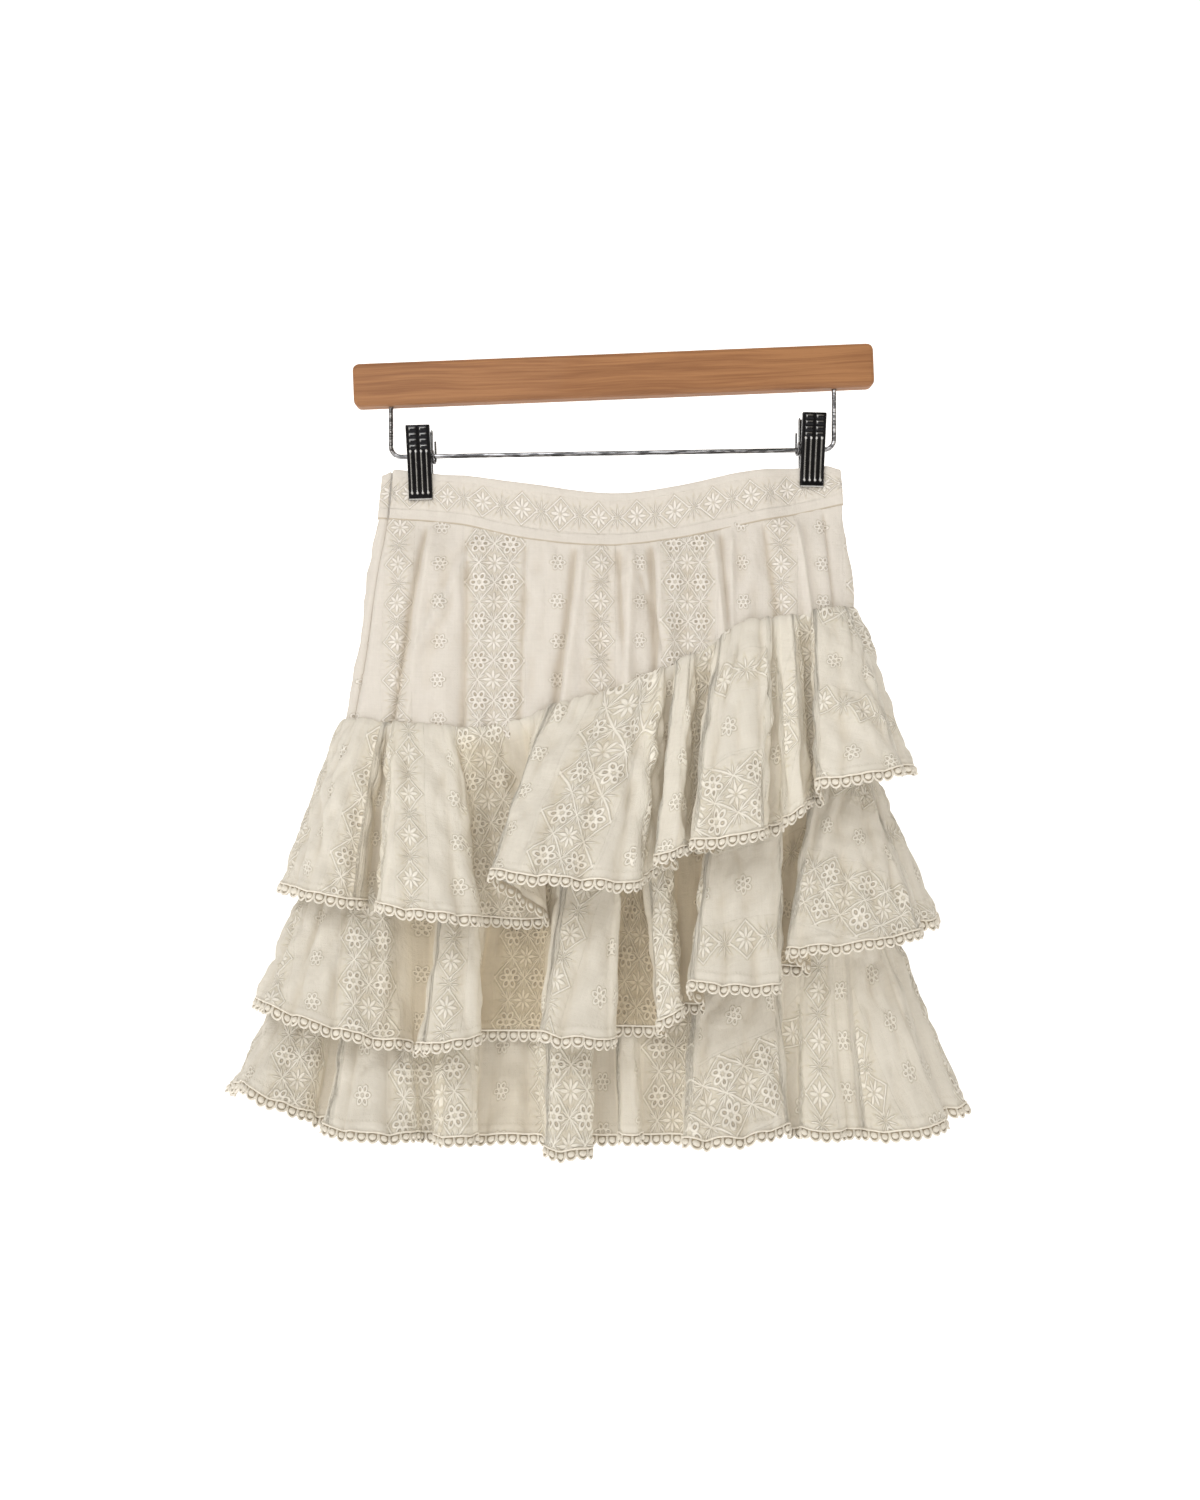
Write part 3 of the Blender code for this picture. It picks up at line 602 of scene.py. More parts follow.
def end_faces(rings, sides):
    """The first and the last ring of a tube as two caps."""
    first = list(range(sides))
    return [first, [(rings - 1) * sides + i for i in reversed(first)]]


def corner_values(values):
    """Values on a grid's points, given out to the corners of its quads in the order of grid_faces."""
    corners = (values[:-1, :-1], values[1:, :-1], values[1:, 1:], values[:-1, 1:])
    return np.stack(corners, axis=2).reshape(-1, values.shape[-1])


def add_piece(name, points, faces, material, maps=None):
    """A smooth mesh object from points in millimetres, faces, and UV maps of corner values."""
    mesh = bpy.data.meshes.new(name)
    mesh.from_pydata(np.asarray(points).reshape(-1, 3) * MM, [], faces)
    for label, corners in (maps or {}).items():
        layer = mesh.uv_layers.new(name=label)
        layer.data.foreach_set("uv", np.asarray(corners, np.float32).ravel())
    mesh.update()
    mesh.shade_smooth()
    mesh.materials.append(material)
    piece = bpy.data.objects.new(name, mesh)
    bpy.context.scene.collection.objects.link(piece)
    return piece


def turned(corners):
    """Corner values of quads that are turned over: each quad's four in reverse."""
    return corners.reshape(-1, 4, 2)[:, ::-1].reshape(-1, 2)


def thicken(piece, thickness, offset=0):
    """Gives a surface its wall: half to each side, or all of it inwards where offset is -1."""
    wall = piece.modifiers.new("wall", "SOLIDIFY")
    wall.thickness = thickness * MM
    wall.offset = offset


def declare(piece, slot, *nodes):
    """Hangs a piece on the root and hides the solids it stands for; the slot is not used."""
    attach(piece, "root")
    if nodes:
        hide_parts(*nodes)


def hem_ring(tier):
    """The hem resampled as (columns + 1, 4), closer where it bends, its running length, and the
    running length at each knot."""
    loop = hem_loop(tier)
    loop = np.vstack([loop, loop[:1] + [0, 0, 0, 2]])
    flat = np.diff(loop[:, :2], axis=0)
    length = running_length(loop[:, :3])
    heading = np.unwrap(np.arctan2(flat[:, 1], flat[:, 0]))
    turn = np.abs(np.append(np.diff(heading), 0))
    weight = np.concatenate([[0], np.cumsum(np.diff(length) + BEND_WEIGHT * turn)])
    places = np.linspace(0, weight[-1], RUFFLE_COLUMNS + 1)
    ring = np.stack([np.interp(places, weight, loop[:, k]) for k in range(4)], axis=1)
    return ring, np.interp(places, weight, length), length[:-1:KNOT_SAMPLES]


def straightness(ring, length):
    """1 where the hem runs straight, towards 0 where it turns sharply: 1 / (1 + (14 * bend)²)."""
    step = np.roll(ring[:-1, :2], -1, 0) - np.roll(ring[:-1, :2], 1, 0)
    heading = np.arctan2(step[:, 1], step[:, 0])
    turn = np.mod(np.roll(heading, -1) - np.roll(heading, 1) + np.pi, TAU) - np.pi
    bend = blur(np.abs(turn) / np.maximum(np.linalg.norm(step, axis=1), 0.1), 12)
    calm = blur(1 / (1 + (14 * bend) ** 2), 10)
    return np.append(calm, calm[0])


def side_walls(ring):
    """1 where the hem runs from a fold back into a hollow, 0 where it runs across the skirt: the
    share of each step that goes forwards or backwards."""
    step = np.roll(ring[:-1, :2], -2, 0) - np.roll(ring[:-1, :2], 2, 0)
    share = np.abs(step[:, 1]) / np.maximum(np.linalg.norm(step, axis=1), 0.1)
    wall = blur(ease((share - 0.45) / 0.4), 2)
    return np.append(wall, wall[0])


def off_sides(tier, ring):
    """0 within 25 mm of a ruffle's left and right ends, 1 from 55 mm away."""
    x = ring[:, 0]
    return ease((x - tier.left - 25) / 30) * ease((tier.right - 25 - x) / 30)


def seam_line(tier, m):
    """Where a ruffle is sewn on: points (n, 3) at the underskirt's surface, and outward (n, 2)."""
    front_m = np.where(m <= 1, m, 2 - m)
    level = np.full_like(m, tier.seam[0].z)
    for _ in range(4):
        x, _y = oval(front_m, level)
        level = seam_height(tier, x)
    x, y = oval(m, level)
    nx, ny = outward(m, level)
    points = np.stack([x - nx * SEAM_SINK, y - ny * SEAM_SINK, level], axis=1)
    return points, np.stack([nx, ny], axis=1)


def ruffle_surface(tier, ring, length, gather_depth, crumple_depth):
    """A ruffle's middle surface (rows, columns + 1, 3), the rows' shares of the way down, and the
    shares of painted shade and painted highlight on it.

    Each column is a ray of a cone from the seam to the hem, with y growing as share^swell and, but
    for the two ends, x as share^bell. At the top the cloth rolls over its seam: it rises by
    roll (1 - exp(-d / 0.9)) exp(-d / 7) and stands off by a shoulder of sin(pi * share^0.45), both
    larger on the folds. Gathers that fade downwards, soft secondary folds that grow downwards, and
    a crumple are added along the normal.
    """
    seam, out = seam_line(tier, np.mod(ring[:, 3], 2))
    hem = ring[:, :3]
    share = np.linspace(0, 1, RUFFLE_ROWS)[:, None] ** 1.5
    down = share * tier.depth + np.zeros(len(length))
    points = seam + (hem - seam) * share[..., None]
    points[..., 1] = seam[:, 1] + (hem[:, 1] - seam[:, 1]) * share**tier.swell
    inner = off_sides(tier, ring)
    points[..., 0] += (hem[:, 0] - seam[:, 0]) * (share**DRAPES[tier.name].bell - share) * inner

    seed = sum(tier.name.encode())
    total = length[-1]
    around = np.broadcast_to(length / total, down.shape)
    sewn = running_length(seam)
    sewn_around = np.broadcast_to(sewn / sewn[-1], down.shape)
    calm = straightness(ring, length)
    reach = blur(np.abs(ring[:-1, 1] - seam[:-1, 1]), 20)
    full = ease((np.append(reach, reach[0]) - 22) / 34)
    gather = billow(ripple(sewn_around, down, sewn[-1], FINE_GATHER, seed, 0.25))
    gather += 0.7 * billow(ripple(sewn_around, down, sewn[-1], BROAD_GATHER, seed + 1, 0.3))
    groups = ripple(sewn_around, 0 * down, sewn[-1], GATHER_GROUP, seed + 6)
    gather *= 0.3 + 0.7 * ease(0.5 + groups)

    roll = (ROLL[0] + ROLL[1] * full) * (1 + 0.22 * gather)
    points[..., 2] += roll * (1 - np.exp(-down / 0.9)) * np.exp(-down / 7)
    shoulder = (SHOULDER[0] + SHOULDER[1] * full) * np.sin(np.pi * share**0.45)
    shoulder = shoulder + 0.8 * (1 - np.exp(-down / 1.2))
    points[..., :2] += out * shoulder[..., None]

    gather *= np.clip(down / 4, 0.15, 1) * np.exp(-down / GATHER_REACH)
    folds = billow(ripple(around, down, total, SOFT_FOLD, seed + 2, 0.16)) * calm
    folds *= 0.3 + share**0.7
    crumple = ripple(around, down, total, CRUMPLE, seed + 3) * ease(down / 20)
    crumple *= 0.4 + 0.6 * calm
    creases = billow(ripple(around, down, total, CREASE, seed + 4)) * ease(down / 18) * calm
    dents = billow(ripple(around, down, total, DENT, seed + 5)) * ease(down / 12)
    dents *= 0.3 + 0.7 * calm
    lift = gather_depth * gather + SOFT_FOLD_HEIGHT * folds
    lift += crumple_depth * (crumple + 1.3 * creases + 0.28 * dents)
    points[:, :-1] += normals(points[:, :-1], True) * lift[:, :-1, None]
    points[:, -1] = points[:, 0]
    return points, share, ruffle_tones(tier, ring, down, full, calm, lift)


def ruffle_tones(tier, ring, down, full, calm, lift):
    """How much painted shade and painted highlight each point of a ruffle takes. Painted shade goes by
    how deep in a hollow the point lies and by small dips, and is weaker on the back. Painted highlight
    goes on the edges of the folds where the cloth turns, on the side walls, on small crests, and along
    the seam. full is 1 on a fold and 0 in a hollow, calm is 1 where the hem runs straight, and lift is
    the relief."""
    low, high = dips(lift[:, :-1], 16, 1.8)
    low, high = (np.hstack([side, side[:, :1]]) for side in (low, high))
    inner = off_sides(tier, ring)
    behind = np.where(ring[:, 3] > 1, 0.5, 1.0)
    hollow = (1 - full) * ease(down / 15) * inner * DRAPES[tier.name].tint * behind
    hollow = 1 - (1 - hollow) * (1 - 0.27 * low)
    # Painted highlight on turning fold edges, side walls, small crests and along the seam.
    edge = np.clip(1.15 - calm, 0, 1) * 0.6 * full
    painted_catch_light = np.maximum(edge, side_walls(ring) * inner) * ease(down / 8)
    painted_catch_light = np.maximum(np.maximum(0.25 * high, painted_catch_light), np.exp(-down / 2.0) * 0.35)
    return np.stack([hollow, painted_catch_light], axis=-1)


def local_map(run, from_hem, radius, lean):
    """Cloth coordinates about a point of the hem, on a ring-shaped cut of that radius: run over the
    radius is an angle a, u = r sin(a), v = r cos(a) - radius, then turned by the lean."""
    angle = run / radius
    reach = radius - from_hem
    u, v = reach * np.sin(angle), reach * np.cos(angle) - radius
    turn = math.radians(lean)
    return u * math.cos(turn) + v * math.sin(turn), v * math.cos(turn) - u * math.sin(turn)


def cloth_map(tier, length, knots, from_hem):
    """Where the embroidery lies on a ruffle: each fold and each hollow has its own local map, and
    neighbours are mixed where the cloth turns."""
    sums = np.zeros((3, *from_hem.shape))
    last = len(tier.folds) - 1
    for i, patch in enumerate(PATCHES[tier.name]):
        first = 1 + FOLD_KNOTS * i
        fold = (knots[first] if i else -MAP_REACH, knots[first + 4], knots[first + 2])
        end = length[-1] + MAP_REACH if i == last else knots[first + FOLD_KNOTS]
        hollow = (knots[first + 4], end, (knots[first + 5] + knots[first + 6]) / 2)
        for (start, stop, middle), place, lean in (
            (fold, patch.fold_u, patch.fold_lean),
            (hollow, patch.hollow_u, patch.hollow_lean),
        ):
            weight = ease((length - start) / MAP_MIX + 0.5) * ease((stop - length) / MAP_MIX + 0.5)
            radius = BACK_RADIUS if stop > length[-1] else FOLD_RADIUS
            u, v = local_map(length - middle, from_hem, radius, lean)
            sums += weight * np.stack([u + place, v + MAP_STEP * i, np.ones_like(u)])
    return np.stack([sums[0] / sums[2], sums[1] / sums[2]], axis=-1)


def waist_heights(m):
    """Heights of the waistband's top edge and lower seam at m."""
    m = np.mod(m, 2)
    x, _y = oval(np.where(m <= 1, m, 2 - m), np.full_like(m, -114.0))
    corners = CORNER_DROP * (ease((-153 - x) / 10) + 0.6 * ease((x - 152) / 10))
    return waist(x, "top") - corners, waist(x, "seam")


def skirt_places(front_count, back_count, slit):
    """Values of m from one edge of the zip's slit all round to the other."""
    front = np.linspace(ZIP_SEAM + slit, 1, front_count, endpoint=False)
    return np.append(front, np.linspace(1, 2 + ZIP_SEAM - slit, back_count))


def grain_place(x):
    """Where across the embroidery's repeat the underskirt's cloth lies at x on the front."""
    xs, places = zip(*STRIPE_PLACES)
    inner = np.interp(x, xs, places)
    return inner + np.minimum(x - xs[0], 0) + np.maximum(x - xs[-1], 0)


# ---------------------------------------------------------------- shader nodes
class Value:
    """A number that changes over a surface: a node's output with arithmetic on it."""

    def __init__(self, nodes, socket):
        self.nodes = nodes
        self.socket = socket

    def math(self, operation, *others, clamp=False):
        """The Math node of that name on this value and the others."""
        settings = {"operation": operation, "use_clamp": clamp}
        return self.nodes.value("ShaderNodeMath", settings, [self, *others])

    def __add__(self, other):
        return self.math("ADD", other)

    __radd__ = __add__

    def __mul__(self, other):
        return self.math("MULTIPLY", other)

    __rmul__ = __mul__

    def __sub__(self, other):
        return self.math("SUBTRACT", other)

    def __rsub__(self, other):
        return self.math("MULTIPLY_ADD", -1.0, other)

    def __truediv__(self, other):
        return self.math("DIVIDE", other)

    def __abs__(self):
        return self.math("ABSOLUTE")

    def highest(self, other):
        """The larger of two numbers."""
        return self.math("MAXIMUM", other)

    def lowest(self, other):
        """The smaller of two numbers."""
        return self.math("MINIMUM", other)

    def clamped(self):
        """The number kept between 0 and 1."""
        return self.math("ADD", 0.0, clamp=True)

    def inside(self, edge, blur_width):
        """1 where this value is under edge, 0 over it, with a soft step between."""
        return (edge - self).math("MULTIPLY_ADD", 1 / blur_width, 0.5, clamp=True)

    def nearest(self, pitch, start=0.0):
        """Signed distance to the nearest multiple of pitch, counted from start."""
        half = pitch / 2
        return (self + (half - start)).math("FLOORED_MODULO", pitch) - half


class Nodes:
    """A material's node tree."""

    def __init__(self, name):
        self.material = bpy.data.materials.get(name) or bpy.data.materials.new(name)
        self.material.use_nodes = True
        self.tree = self.material.node_tree
        self.tree.nodes.clear()
        output = self.tree.nodes.new("ShaderNodeOutputMaterial")
        self.shader = self.tree.nodes.new("ShaderNodeBsdfPrincipled")
        self.tree.links.new(self.shader.outputs["BSDF"], output.inputs["Surface"])

    def add(self, kind, settings=None, inputs=None):
        """A node of that type: its settings first, then the values or links of its sockets."""
        node = self.tree.nodes.new(kind)
        for key, setting in (settings or {}).items():
            if key == "stops":
                self.set_stops(node.color_ramp, setting)
            else:
                setattr(node, key, setting)
        pairs = inputs.items() if isinstance(inputs, dict) else enumerate(inputs or ())
        for key, entry in pairs:
            self.set_input(node.inputs[key], entry)
        return node

    def set_input(self, socket, entry):
        """Links a value or a socket to an input, or sets the input to a number or a colour."""
        if isinstance(entry, Value):
            self.tree.links.new(entry.socket, socket)
        elif isinstance(entry, bpy.types.NodeSocket):
            self.tree.links.new(entry, socket)
        elif hasattr(entry, "__len__") and len(entry) == 3 and len(socket.default_value) == 4:
            socket.default_value = (*entry, 1.0)
        else:
            socket.default_value = entry

    @staticmethod
    def set_stops(ramp, stops):
        """Gives a colour ramp its stops, each a place and a colour."""
        while len(ramp.elements) < len(stops):
            ramp.elements.new(1.0)
        for element, (place, colour) in zip(ramp.elements, stops):
            element.position = place
            element.color = (*colour[:3], 1.0)

    def value(self, kind, settings=None, inputs=None, output=0):
        """A node's output as a number to reckon with."""
        return Value(self, self.add(kind, settings, inputs).outputs[output])

    def place(self, map_name=None, scale=1.0):
        """x, y and z of the piece's UV map, or of Object coordinates, times scale."""
        if map_name:
            source = self.add("ShaderNodeUVMap", {"uv_map": map_name}).outputs["UV"]
        else:
            source = self.add("ShaderNodeTexCoord").outputs["Object"]
        parts = self.add("ShaderNodeSeparateXYZ", None, [source])
        return [Value(self, part) * scale for part in parts.outputs]

    def point(self, x, y, z):
        """Three numbers as a vector."""
        return self.add("ShaderNodeCombineXYZ", None, [x, y, z]).outputs[0]

    def noise(self, place, sizes, detail=2.0, roughness=0.5, layer=0.0):
        """Noise from 0 to 1 whose lumps have one size, or one each along x, y and z. A place of two
        numbers takes the layer as its third, which sets one noise apart from the next."""
        sizes = np.broadcast_to(sizes, len(place)).tolist()
        parts = [part / size for part, size in zip(place, sizes)]
        vector = self.point(*parts, layer) if len(parts) == 2 else self.point(*parts)
        inputs = {"Vector": vector, "Scale": 1.0, "Detail": detail, "Roughness": roughness}
        return self.value("ShaderNodeTexNoise", None, inputs)

    def blend(self, share, first, second, kind="MIX"):
        """A colour between two colours, or the second laid over the first."""
        settings = {"data_type": "RGBA", "blend_type": kind}
        node = self.add("ShaderNodeMix", settings)
        self.set_input(node.inputs[0], share)
        self.set_input(node.inputs[6], first)
        self.set_input(node.inputs[7], second)
        return node.outputs[2]

    def finish(self, colour, roughness, height=None, metallic=0.0, depth=1.0, **constants):
        """Feeds the shader; height is in millimetres, and constants go on its own sockets."""
        self.set_input(self.shader.inputs["Base Color"], colour)
        self.set_input(self.shader.inputs["Roughness"], roughness)
        self.set_input(self.shader.inputs["Metallic"], metallic)
        if height is not None:
            inputs = {"Height": height, "Distance": MM, "Strength": depth}
            bump = self.add("ShaderNodeBump", None, inputs)
            self.tree.links.new(bump.outputs[0], self.shader.inputs["Normal"])
        for key, constant in constants.items():
            self.set_input(self.shader.inputs[key.replace("_", " ")], constant)
        return self.material


def polar(x, y):
    """Distance from the centre, and the angle round it."""
    reach = (x * x + y * y).math("SQRT")
    return reach, y.math("ARCTAN2", x)


def spokes(x, y, count, middle, half_long, half_wide):
    """Ovals in a ring: how far a place is from the nearest one's centre, 1 at its outline. The angle
    is folded into one sector, and the oval lies at (middle, 0) in it."""
    reach, angle = polar(x, y)
    turn = angle.math("PINGPONG", math.pi / count)
    along = (reach * turn.math("COSINE") - middle) / half_long
    side = reach * turn.math("SINE") / half_wide
    return (along * along + side * side).math("SQRT")


def petals(x, y, count, middle, half_long, half_wide):
    """Distance in millimetres outside the nearest of a ring of satin-stitched ovals."""
    return (spokes(x, y, count, middle, half_long, half_wide) - 1) * half_wide


def eyelets(x, y, middle, half_long, half_wide):
    """Six oval holes round a centre: distance outside the nearest stitched rim, and the holes."""
    far = spokes(x, y, 6, middle, half_long, half_wide)
    return (abs(far - 1.75) - 0.7) * half_wide, far.inside(0.9, 0.4)


def embroidery(across, along):
    """White work on the cloth, as (thread, groove, holes, ground), each 0 to 1; across and along in
    millimetres. A groove is the line of painted shade beside a thread, holes are the eyelets, which
    take painted shade, and ground is where the cloth is stitched all over and takes a little painted
    shade.

    Diagonal lattice stripes, one diamond wide and two diamonds wide, hold eight-petalled flowers,
    stars on their crossings and rosettes of six holes; small eyelet flowers stand between them.
    """
    half_pitch = LATTICE_PITCH / 2
    narrow = across.nearest(STRIPE_REPEAT)
    wide = across.nearest(STRIPE_REPEAT, WIDE_STRIPE)
    in_wide = abs(wide).inside(2 * LATTICE_HALF + 2.5, 0.1)
    x = narrow + (wide - narrow) * in_wide
    in_stripe = abs(x).inside(LATTICE_HALF * 1.08 + in_wide * LATTICE_HALF, 0.4)
    a = x / LATTICE_HALF
    b = along / half_pitch
    line_gap = math.sin(math.atan(half_pitch / LATTICE_HALF)) * LATTICE_HALF
    lattice = (a + b).math("PINGPONG", 1.0).lowest((a - b).math("PINGPONG", 1.0)) * line_gap

    y = along.nearest(LATTICE_PITCH)
    y_half = along.nearest(LATTICE_PITCH, half_pitch)
    diamond = abs(abs(x) / DIAMOND[0] + abs(y_half) / DIAMOND[1] - 1) * line_gap
    lattice = diamond + (lattice - diamond) * in_wide - THREAD_HALF
    beside = abs(x) - LATTICE_HALF
    flower = petals(x, y_half, *FLOWER)
    star = petals(x, y, *STAR) * 1.6
    side_star = petals(beside, y_half, *STAR) * 1.6
    rose, rose_holes = eyelets(beside, y, *ROSE)
    small, small_holes = eyelets(abs(narrow) - FLOWER_COLUMN, y_half, *SMALL_FLOWER)
    stripe = lattice.lowest(flower).lowest(star) + (1 - in_stripe) * FAR_OFF
    broad = side_star.lowest(rose) + (1 - in_wide) * FAR_OFF
    near = stripe.lowest(broad).lowest(small * 2.0 + in_stripe * FAR_OFF)
    holes = (rose_holes * in_wide).highest(small_holes * (1 - in_stripe) * 0.55)
    thread = near.inside(0.0, 0.5)
    groove = near.inside(0.75, 0.8) - thread
    return thread, groove, holes.clamped(), in_stripe


def weave(nodes, u, v, pitch=0.62):
    """Plain weave: the product of two sine waves across and along."""
    turn = TAU / pitch
    return (u * turn).math("SINE") * (v * turn).math("SINE")


def toned(colour, share):
    """A colour times one share, or times a share each for red, green and blue, at most white."""
    return tuple(np.minimum(np.multiply(colour, share), 1.0).tolist())


def cotton(name, look, cloth_colour, ruffle=False, lengthwise=False):
    """Embroidered cotton: thread and holes from the cloth map, weave, slubs and soft creases. A ruffle
    has a stitched hem. Painted shade darkens the eyelets, the grooves beside the threads, the stitched
    ground and the stitching line, and runs along the waistband's lower seam. The tone map lays warm
    painted shade in hollows and painted highlights on turning edges and crests. An even glow is
    painted light through the thin cloth."""
    nodes = Nodes(name)
    u, v, _w = nodes.place("cloth", 100.0)
    across, along = (v, u) if lengthwise else (u, v)
    wander = nodes.noise((u, v), 30.0, 0.0, layer=11.0) - 0.5
    thread, groove, holes, ground = embroidery(across + wander * 2.5, along + wander * 2.0)
    slub = nodes.noise((u, v), (1.1, 17.0), 1.0)
    slub_across = nodes.noise((u, v), (17.0, 1.1), 1.0, layer=5.0)
    crease = nodes.noise((u, v), 11.0, 2.0, 0.6, layer=3.0)
    grain = nodes.noise((u, v), 0.8, 0.0, layer=7.0)
    pucker = nodes.noise((u, v), 3.2, 0.0, layer=9.0)
    height = thread * 0.8 - holes * 0.6 + crease * 1.6 + pucker * (0.15 + ground * 0.45)
    height = height + weave(nodes, u, v) * 0.04 + (slub + slub_across) * 0.12 + grain * 0.12
    weft = (slub + slub_across) * 0.5
    # The thread is brighter than its cloth partly by its own whiter colour and partly as painted
    # highlight on its raised lines.
    bright, shaded = toned(cloth_colour, look.thread_lift), toned(cloth_colour, look.groove_shade)
    colour = nodes.blend((weft - 0.25) * 2.0, toned(cloth_colour, 0.93), cloth_colour)
    # Painted shade on the stitched ground of the stripes.
    colour = nodes.blend(ground * 0.09, colour, shaded)
    if ruffle:
        run, from_hem, _w = nodes.place("edge", 100.0)
        line = abs(from_hem - HEM_STITCH)
        stitch = line.inside(0.3, 0.5) * abs(run.nearest(STITCH_PITCH)).inside(0.8, 0.4)
        hem = from_hem.inside(HEM_STITCH + 0.4, 0.8)
        height = height - stitch * 0.2 + hem * 0.25
        # Painted shade along the hem's stitching line.
        colour = nodes.blend((line.inside(0.5, 0.8) - stitch) * 0.15, colour, shaded)
    # Painted shade in the grooves beside the threads.
    colour = nodes.blend(groove * 0.65, colour, shaded)
    colour = nodes.blend(thread * 0.9, colour, bright)
    # Painted shade seen through the eyelets.
    colour = nodes.blend(holes * (0.6 if ruffle else 0.85), colour, look.crevice_shade_colour)
    if lengthwise:
        # Painted shadow: a dark line along the band's lower seam, under its edge.
        seam = (v + BAND_STRIPE - 0.1).inside(0.0, 0.5)
        colour = nodes.blend(seam * 0.85, colour, look.crevice_shade_colour)
    else:
        # Painted shade in the hollows and dips, and painted highlights on turning edges, crests and
        # along the seams, from the tone map.
        hollow, painted_catch_light, _w = nodes.place("tone")
        colour = nodes.blend(hollow, colour, look.painted_hollow_shade, "MULTIPLY")
        colour = nodes.blend(painted_catch_light, colour, look.painted_highlight_lift, "MULTIPLY")
    roughness = 0.92 - thread * 0.3
    # Painted light: the cloth glows evenly by itself, standing in for light that passes through the
    # thin cotton.
    glow = {"Emission_Color": look.painted_glow_colour, "Emission_Strength": look.glow}
    return nodes.finish(colour, roughness, height, Sheen_Weight=0.1, Sheen_Roughness=0.5, **glow)


def lace_thread(name, look):
    """Satin-stitched lace thread: fine parallel ridges from the motif's own map, with painted shade
    between the ridges and darker painted shade on the thin ground.
    """
    nodes = Nodes(name)
    u, v, _w = nodes.place("cloth", 100.0)
    ridges = ((u + v * 0.35) * (TAU / 0.42)).math("SINE")
    ground = (GROUND_SHIFT / 2 - u).inside(0.0, 1.0)
    tone = nodes.noise((u, v), 3.0)
    colour = nodes.blend(tone, look.thread_colour, toned(look.thread_colour, 0.95))
    # Painted shade between the satin ridges.
    colour = nodes.blend((0.5 - ridges * 0.5) * 0.12, colour, look.crevice_shade_colour)
    # Painted shade on the thin ground.
    colour = nodes.blend(ground, colour, look.shaded_ground_colour)
    return nodes.finish(colour, 0.55 + tone * 0.15, ridges * 0.05, Sheen_Weight=0.15)


def wood(name, look):
    """Beech along the tilted bar: long streaks from stretched noise, pores, and a darker lower edge.
    """
    nodes = Nodes(name)
    x, y, z = nodes.place(None, 1000.0)
    high = z * math.cos(BAR_TILT) - x * math.sin(BAR_TILT)
    swayed = high + nodes.noise((x, y, high), (90.0, 30.0, 30.0), 1.0) * 9.0
    streak = nodes.noise((x, y, swayed), (70.0, 4.0, 1.5), 4.0, 0.65)
    broad = nodes.noise((x, y, swayed), (110.0, 12.0, 7.0))
    pore = nodes.noise((x, y, high), (3.5, 0.6, 0.45))
    dark = toned(look.wood_colour, (0.68, 0.6, 0.52))
    ramp = {"stops": ((0.40, dark), (0.58, look.wood_colour))}
    colour = nodes.add("ShaderNodeValToRGB", ramp, [streak * 0.6 + broad * 0.4]).outputs[0]
    flecks = (pore - 0.62).math("MULTIPLY", 6.0, clamp=True)
    colour = nodes.blend(flecks * 0.35, colour, dark)
    low_edge = (high - BAR_LOW_EDGE).inside(0.0, 1.2)
    colour = nodes.blend(low_edge * 0.35, colour, toned(dark, 0.8))
    height = pore * -0.05 + streak * 0.04
    return nodes.finish(colour, 0.5 + streak * 0.15, height, Coat_Weight=0.05)


def chrome(name, colour, shine=0.2, streaks=False):
    """Plated steel: faint smudges in its shine and tone, and fine drawing lines; on the long wire,
    light and dark streaks along it are painted reflections."""
    nodes = Nodes(name)
    place = nodes.place(None, 1000.0)
    smudge = nodes.noise(place, 6.0, 3.0)
    tone = nodes.blend(smudge, colour, toned(colour, 0.8))
    if streaks:
        # Painted reflection: light and dark streaks along the wire.
        streak = nodes.noise(place, (9.0, 1.2, 1.2))
        streak = (streak - 0.45).math("MULTIPLY", 7.0, clamp=True)
        tone = nodes.blend(streak, toned(colour, 0.4), toned(colour, 2.0))
    height = nodes.noise(place, 0.8, 1.0) * 0.02
    return nodes.finish(tone, shine + smudge * 0.1, height, metallic=1.0)


def plain_tape(name, look):
    """Woven zip tape with a ribbed twill."""
    nodes = Nodes(name)
    place = nodes.place(None, 1000.0)
    ribs = (place[2] * (TAU / 1.1)).math("SINE")
    tone = nodes.noise(place, 3.0)
    colour = nodes.blend(tone, look.cloth_colour, toned(look.cloth_colour, 0.85))
    return nodes.finish(colour, 0.8, ribs * 0.1)


def clip_steel(name, look):
    """Dark plating that stands in for chrome reflecting a dark room, as painted reflection, with
    painted highlights on the ribs, dots, bump edges, flange edges, curls and lip; the highlight map
    says where.
    """
    nodes = Nodes(name)
    crest, _v, _w = nodes.place("crest")
    smudge = nodes.noise(nodes.place(None, 1000.0), 4.0, 3.0)
    highlighted = (crest + smudge * 0.3 - 0.25).clamped()
    tone = nodes.blend(highlighted, look.dark_metal, look.highlight_metal)
    return nodes.finish(tone, 0.2 + smudge * 0.15, smudge * 0.03, metallic=1.0)


def stage_paper(name, look):
    """Matt paper of the floor and backdrop, a little bright by itself, with the faintest tooth."""
    nodes = Nodes(name)
    tooth = nodes.noise(nodes.place(None, 1000.0), 40.0)
    tone = look.backdrop_colour
    colour = nodes.blend(tooth, tone, toned(tone, 0.99))
    glow = {"Emission_Color": tone, "Emission_Strength": look.backdrop_glow}
    return nodes.finish(colour, 0.9, **glow)


# ---------------------------------------------------------------- settings
def colour_setting(name, description, default):
    """A colour from black to white."""
    return bpy.props.FloatVectorProperty(
        name=name, description=description, subtype="COLOR", size=3, min=0, max=1, default=default
    )


def tone_setting(name, description, default):
    """Three shares that a colour is multiplied by."""
    return bpy.props.FloatVectorProperty(
        name=name, description=description, size=3, min=0, default=default
    )


def length_setting(name, description, default):
    """A length in metres."""
    return bpy.props.FloatProperty(
        name=name, description=description, unit="LENGTH", default=default
    )


def strength_setting(name, description, default, unit="NONE"):
    """A strength from nothing upwards."""
    return bpy.props.FloatProperty(
        name=name, description=description, unit=unit, min=0, default=default
    )


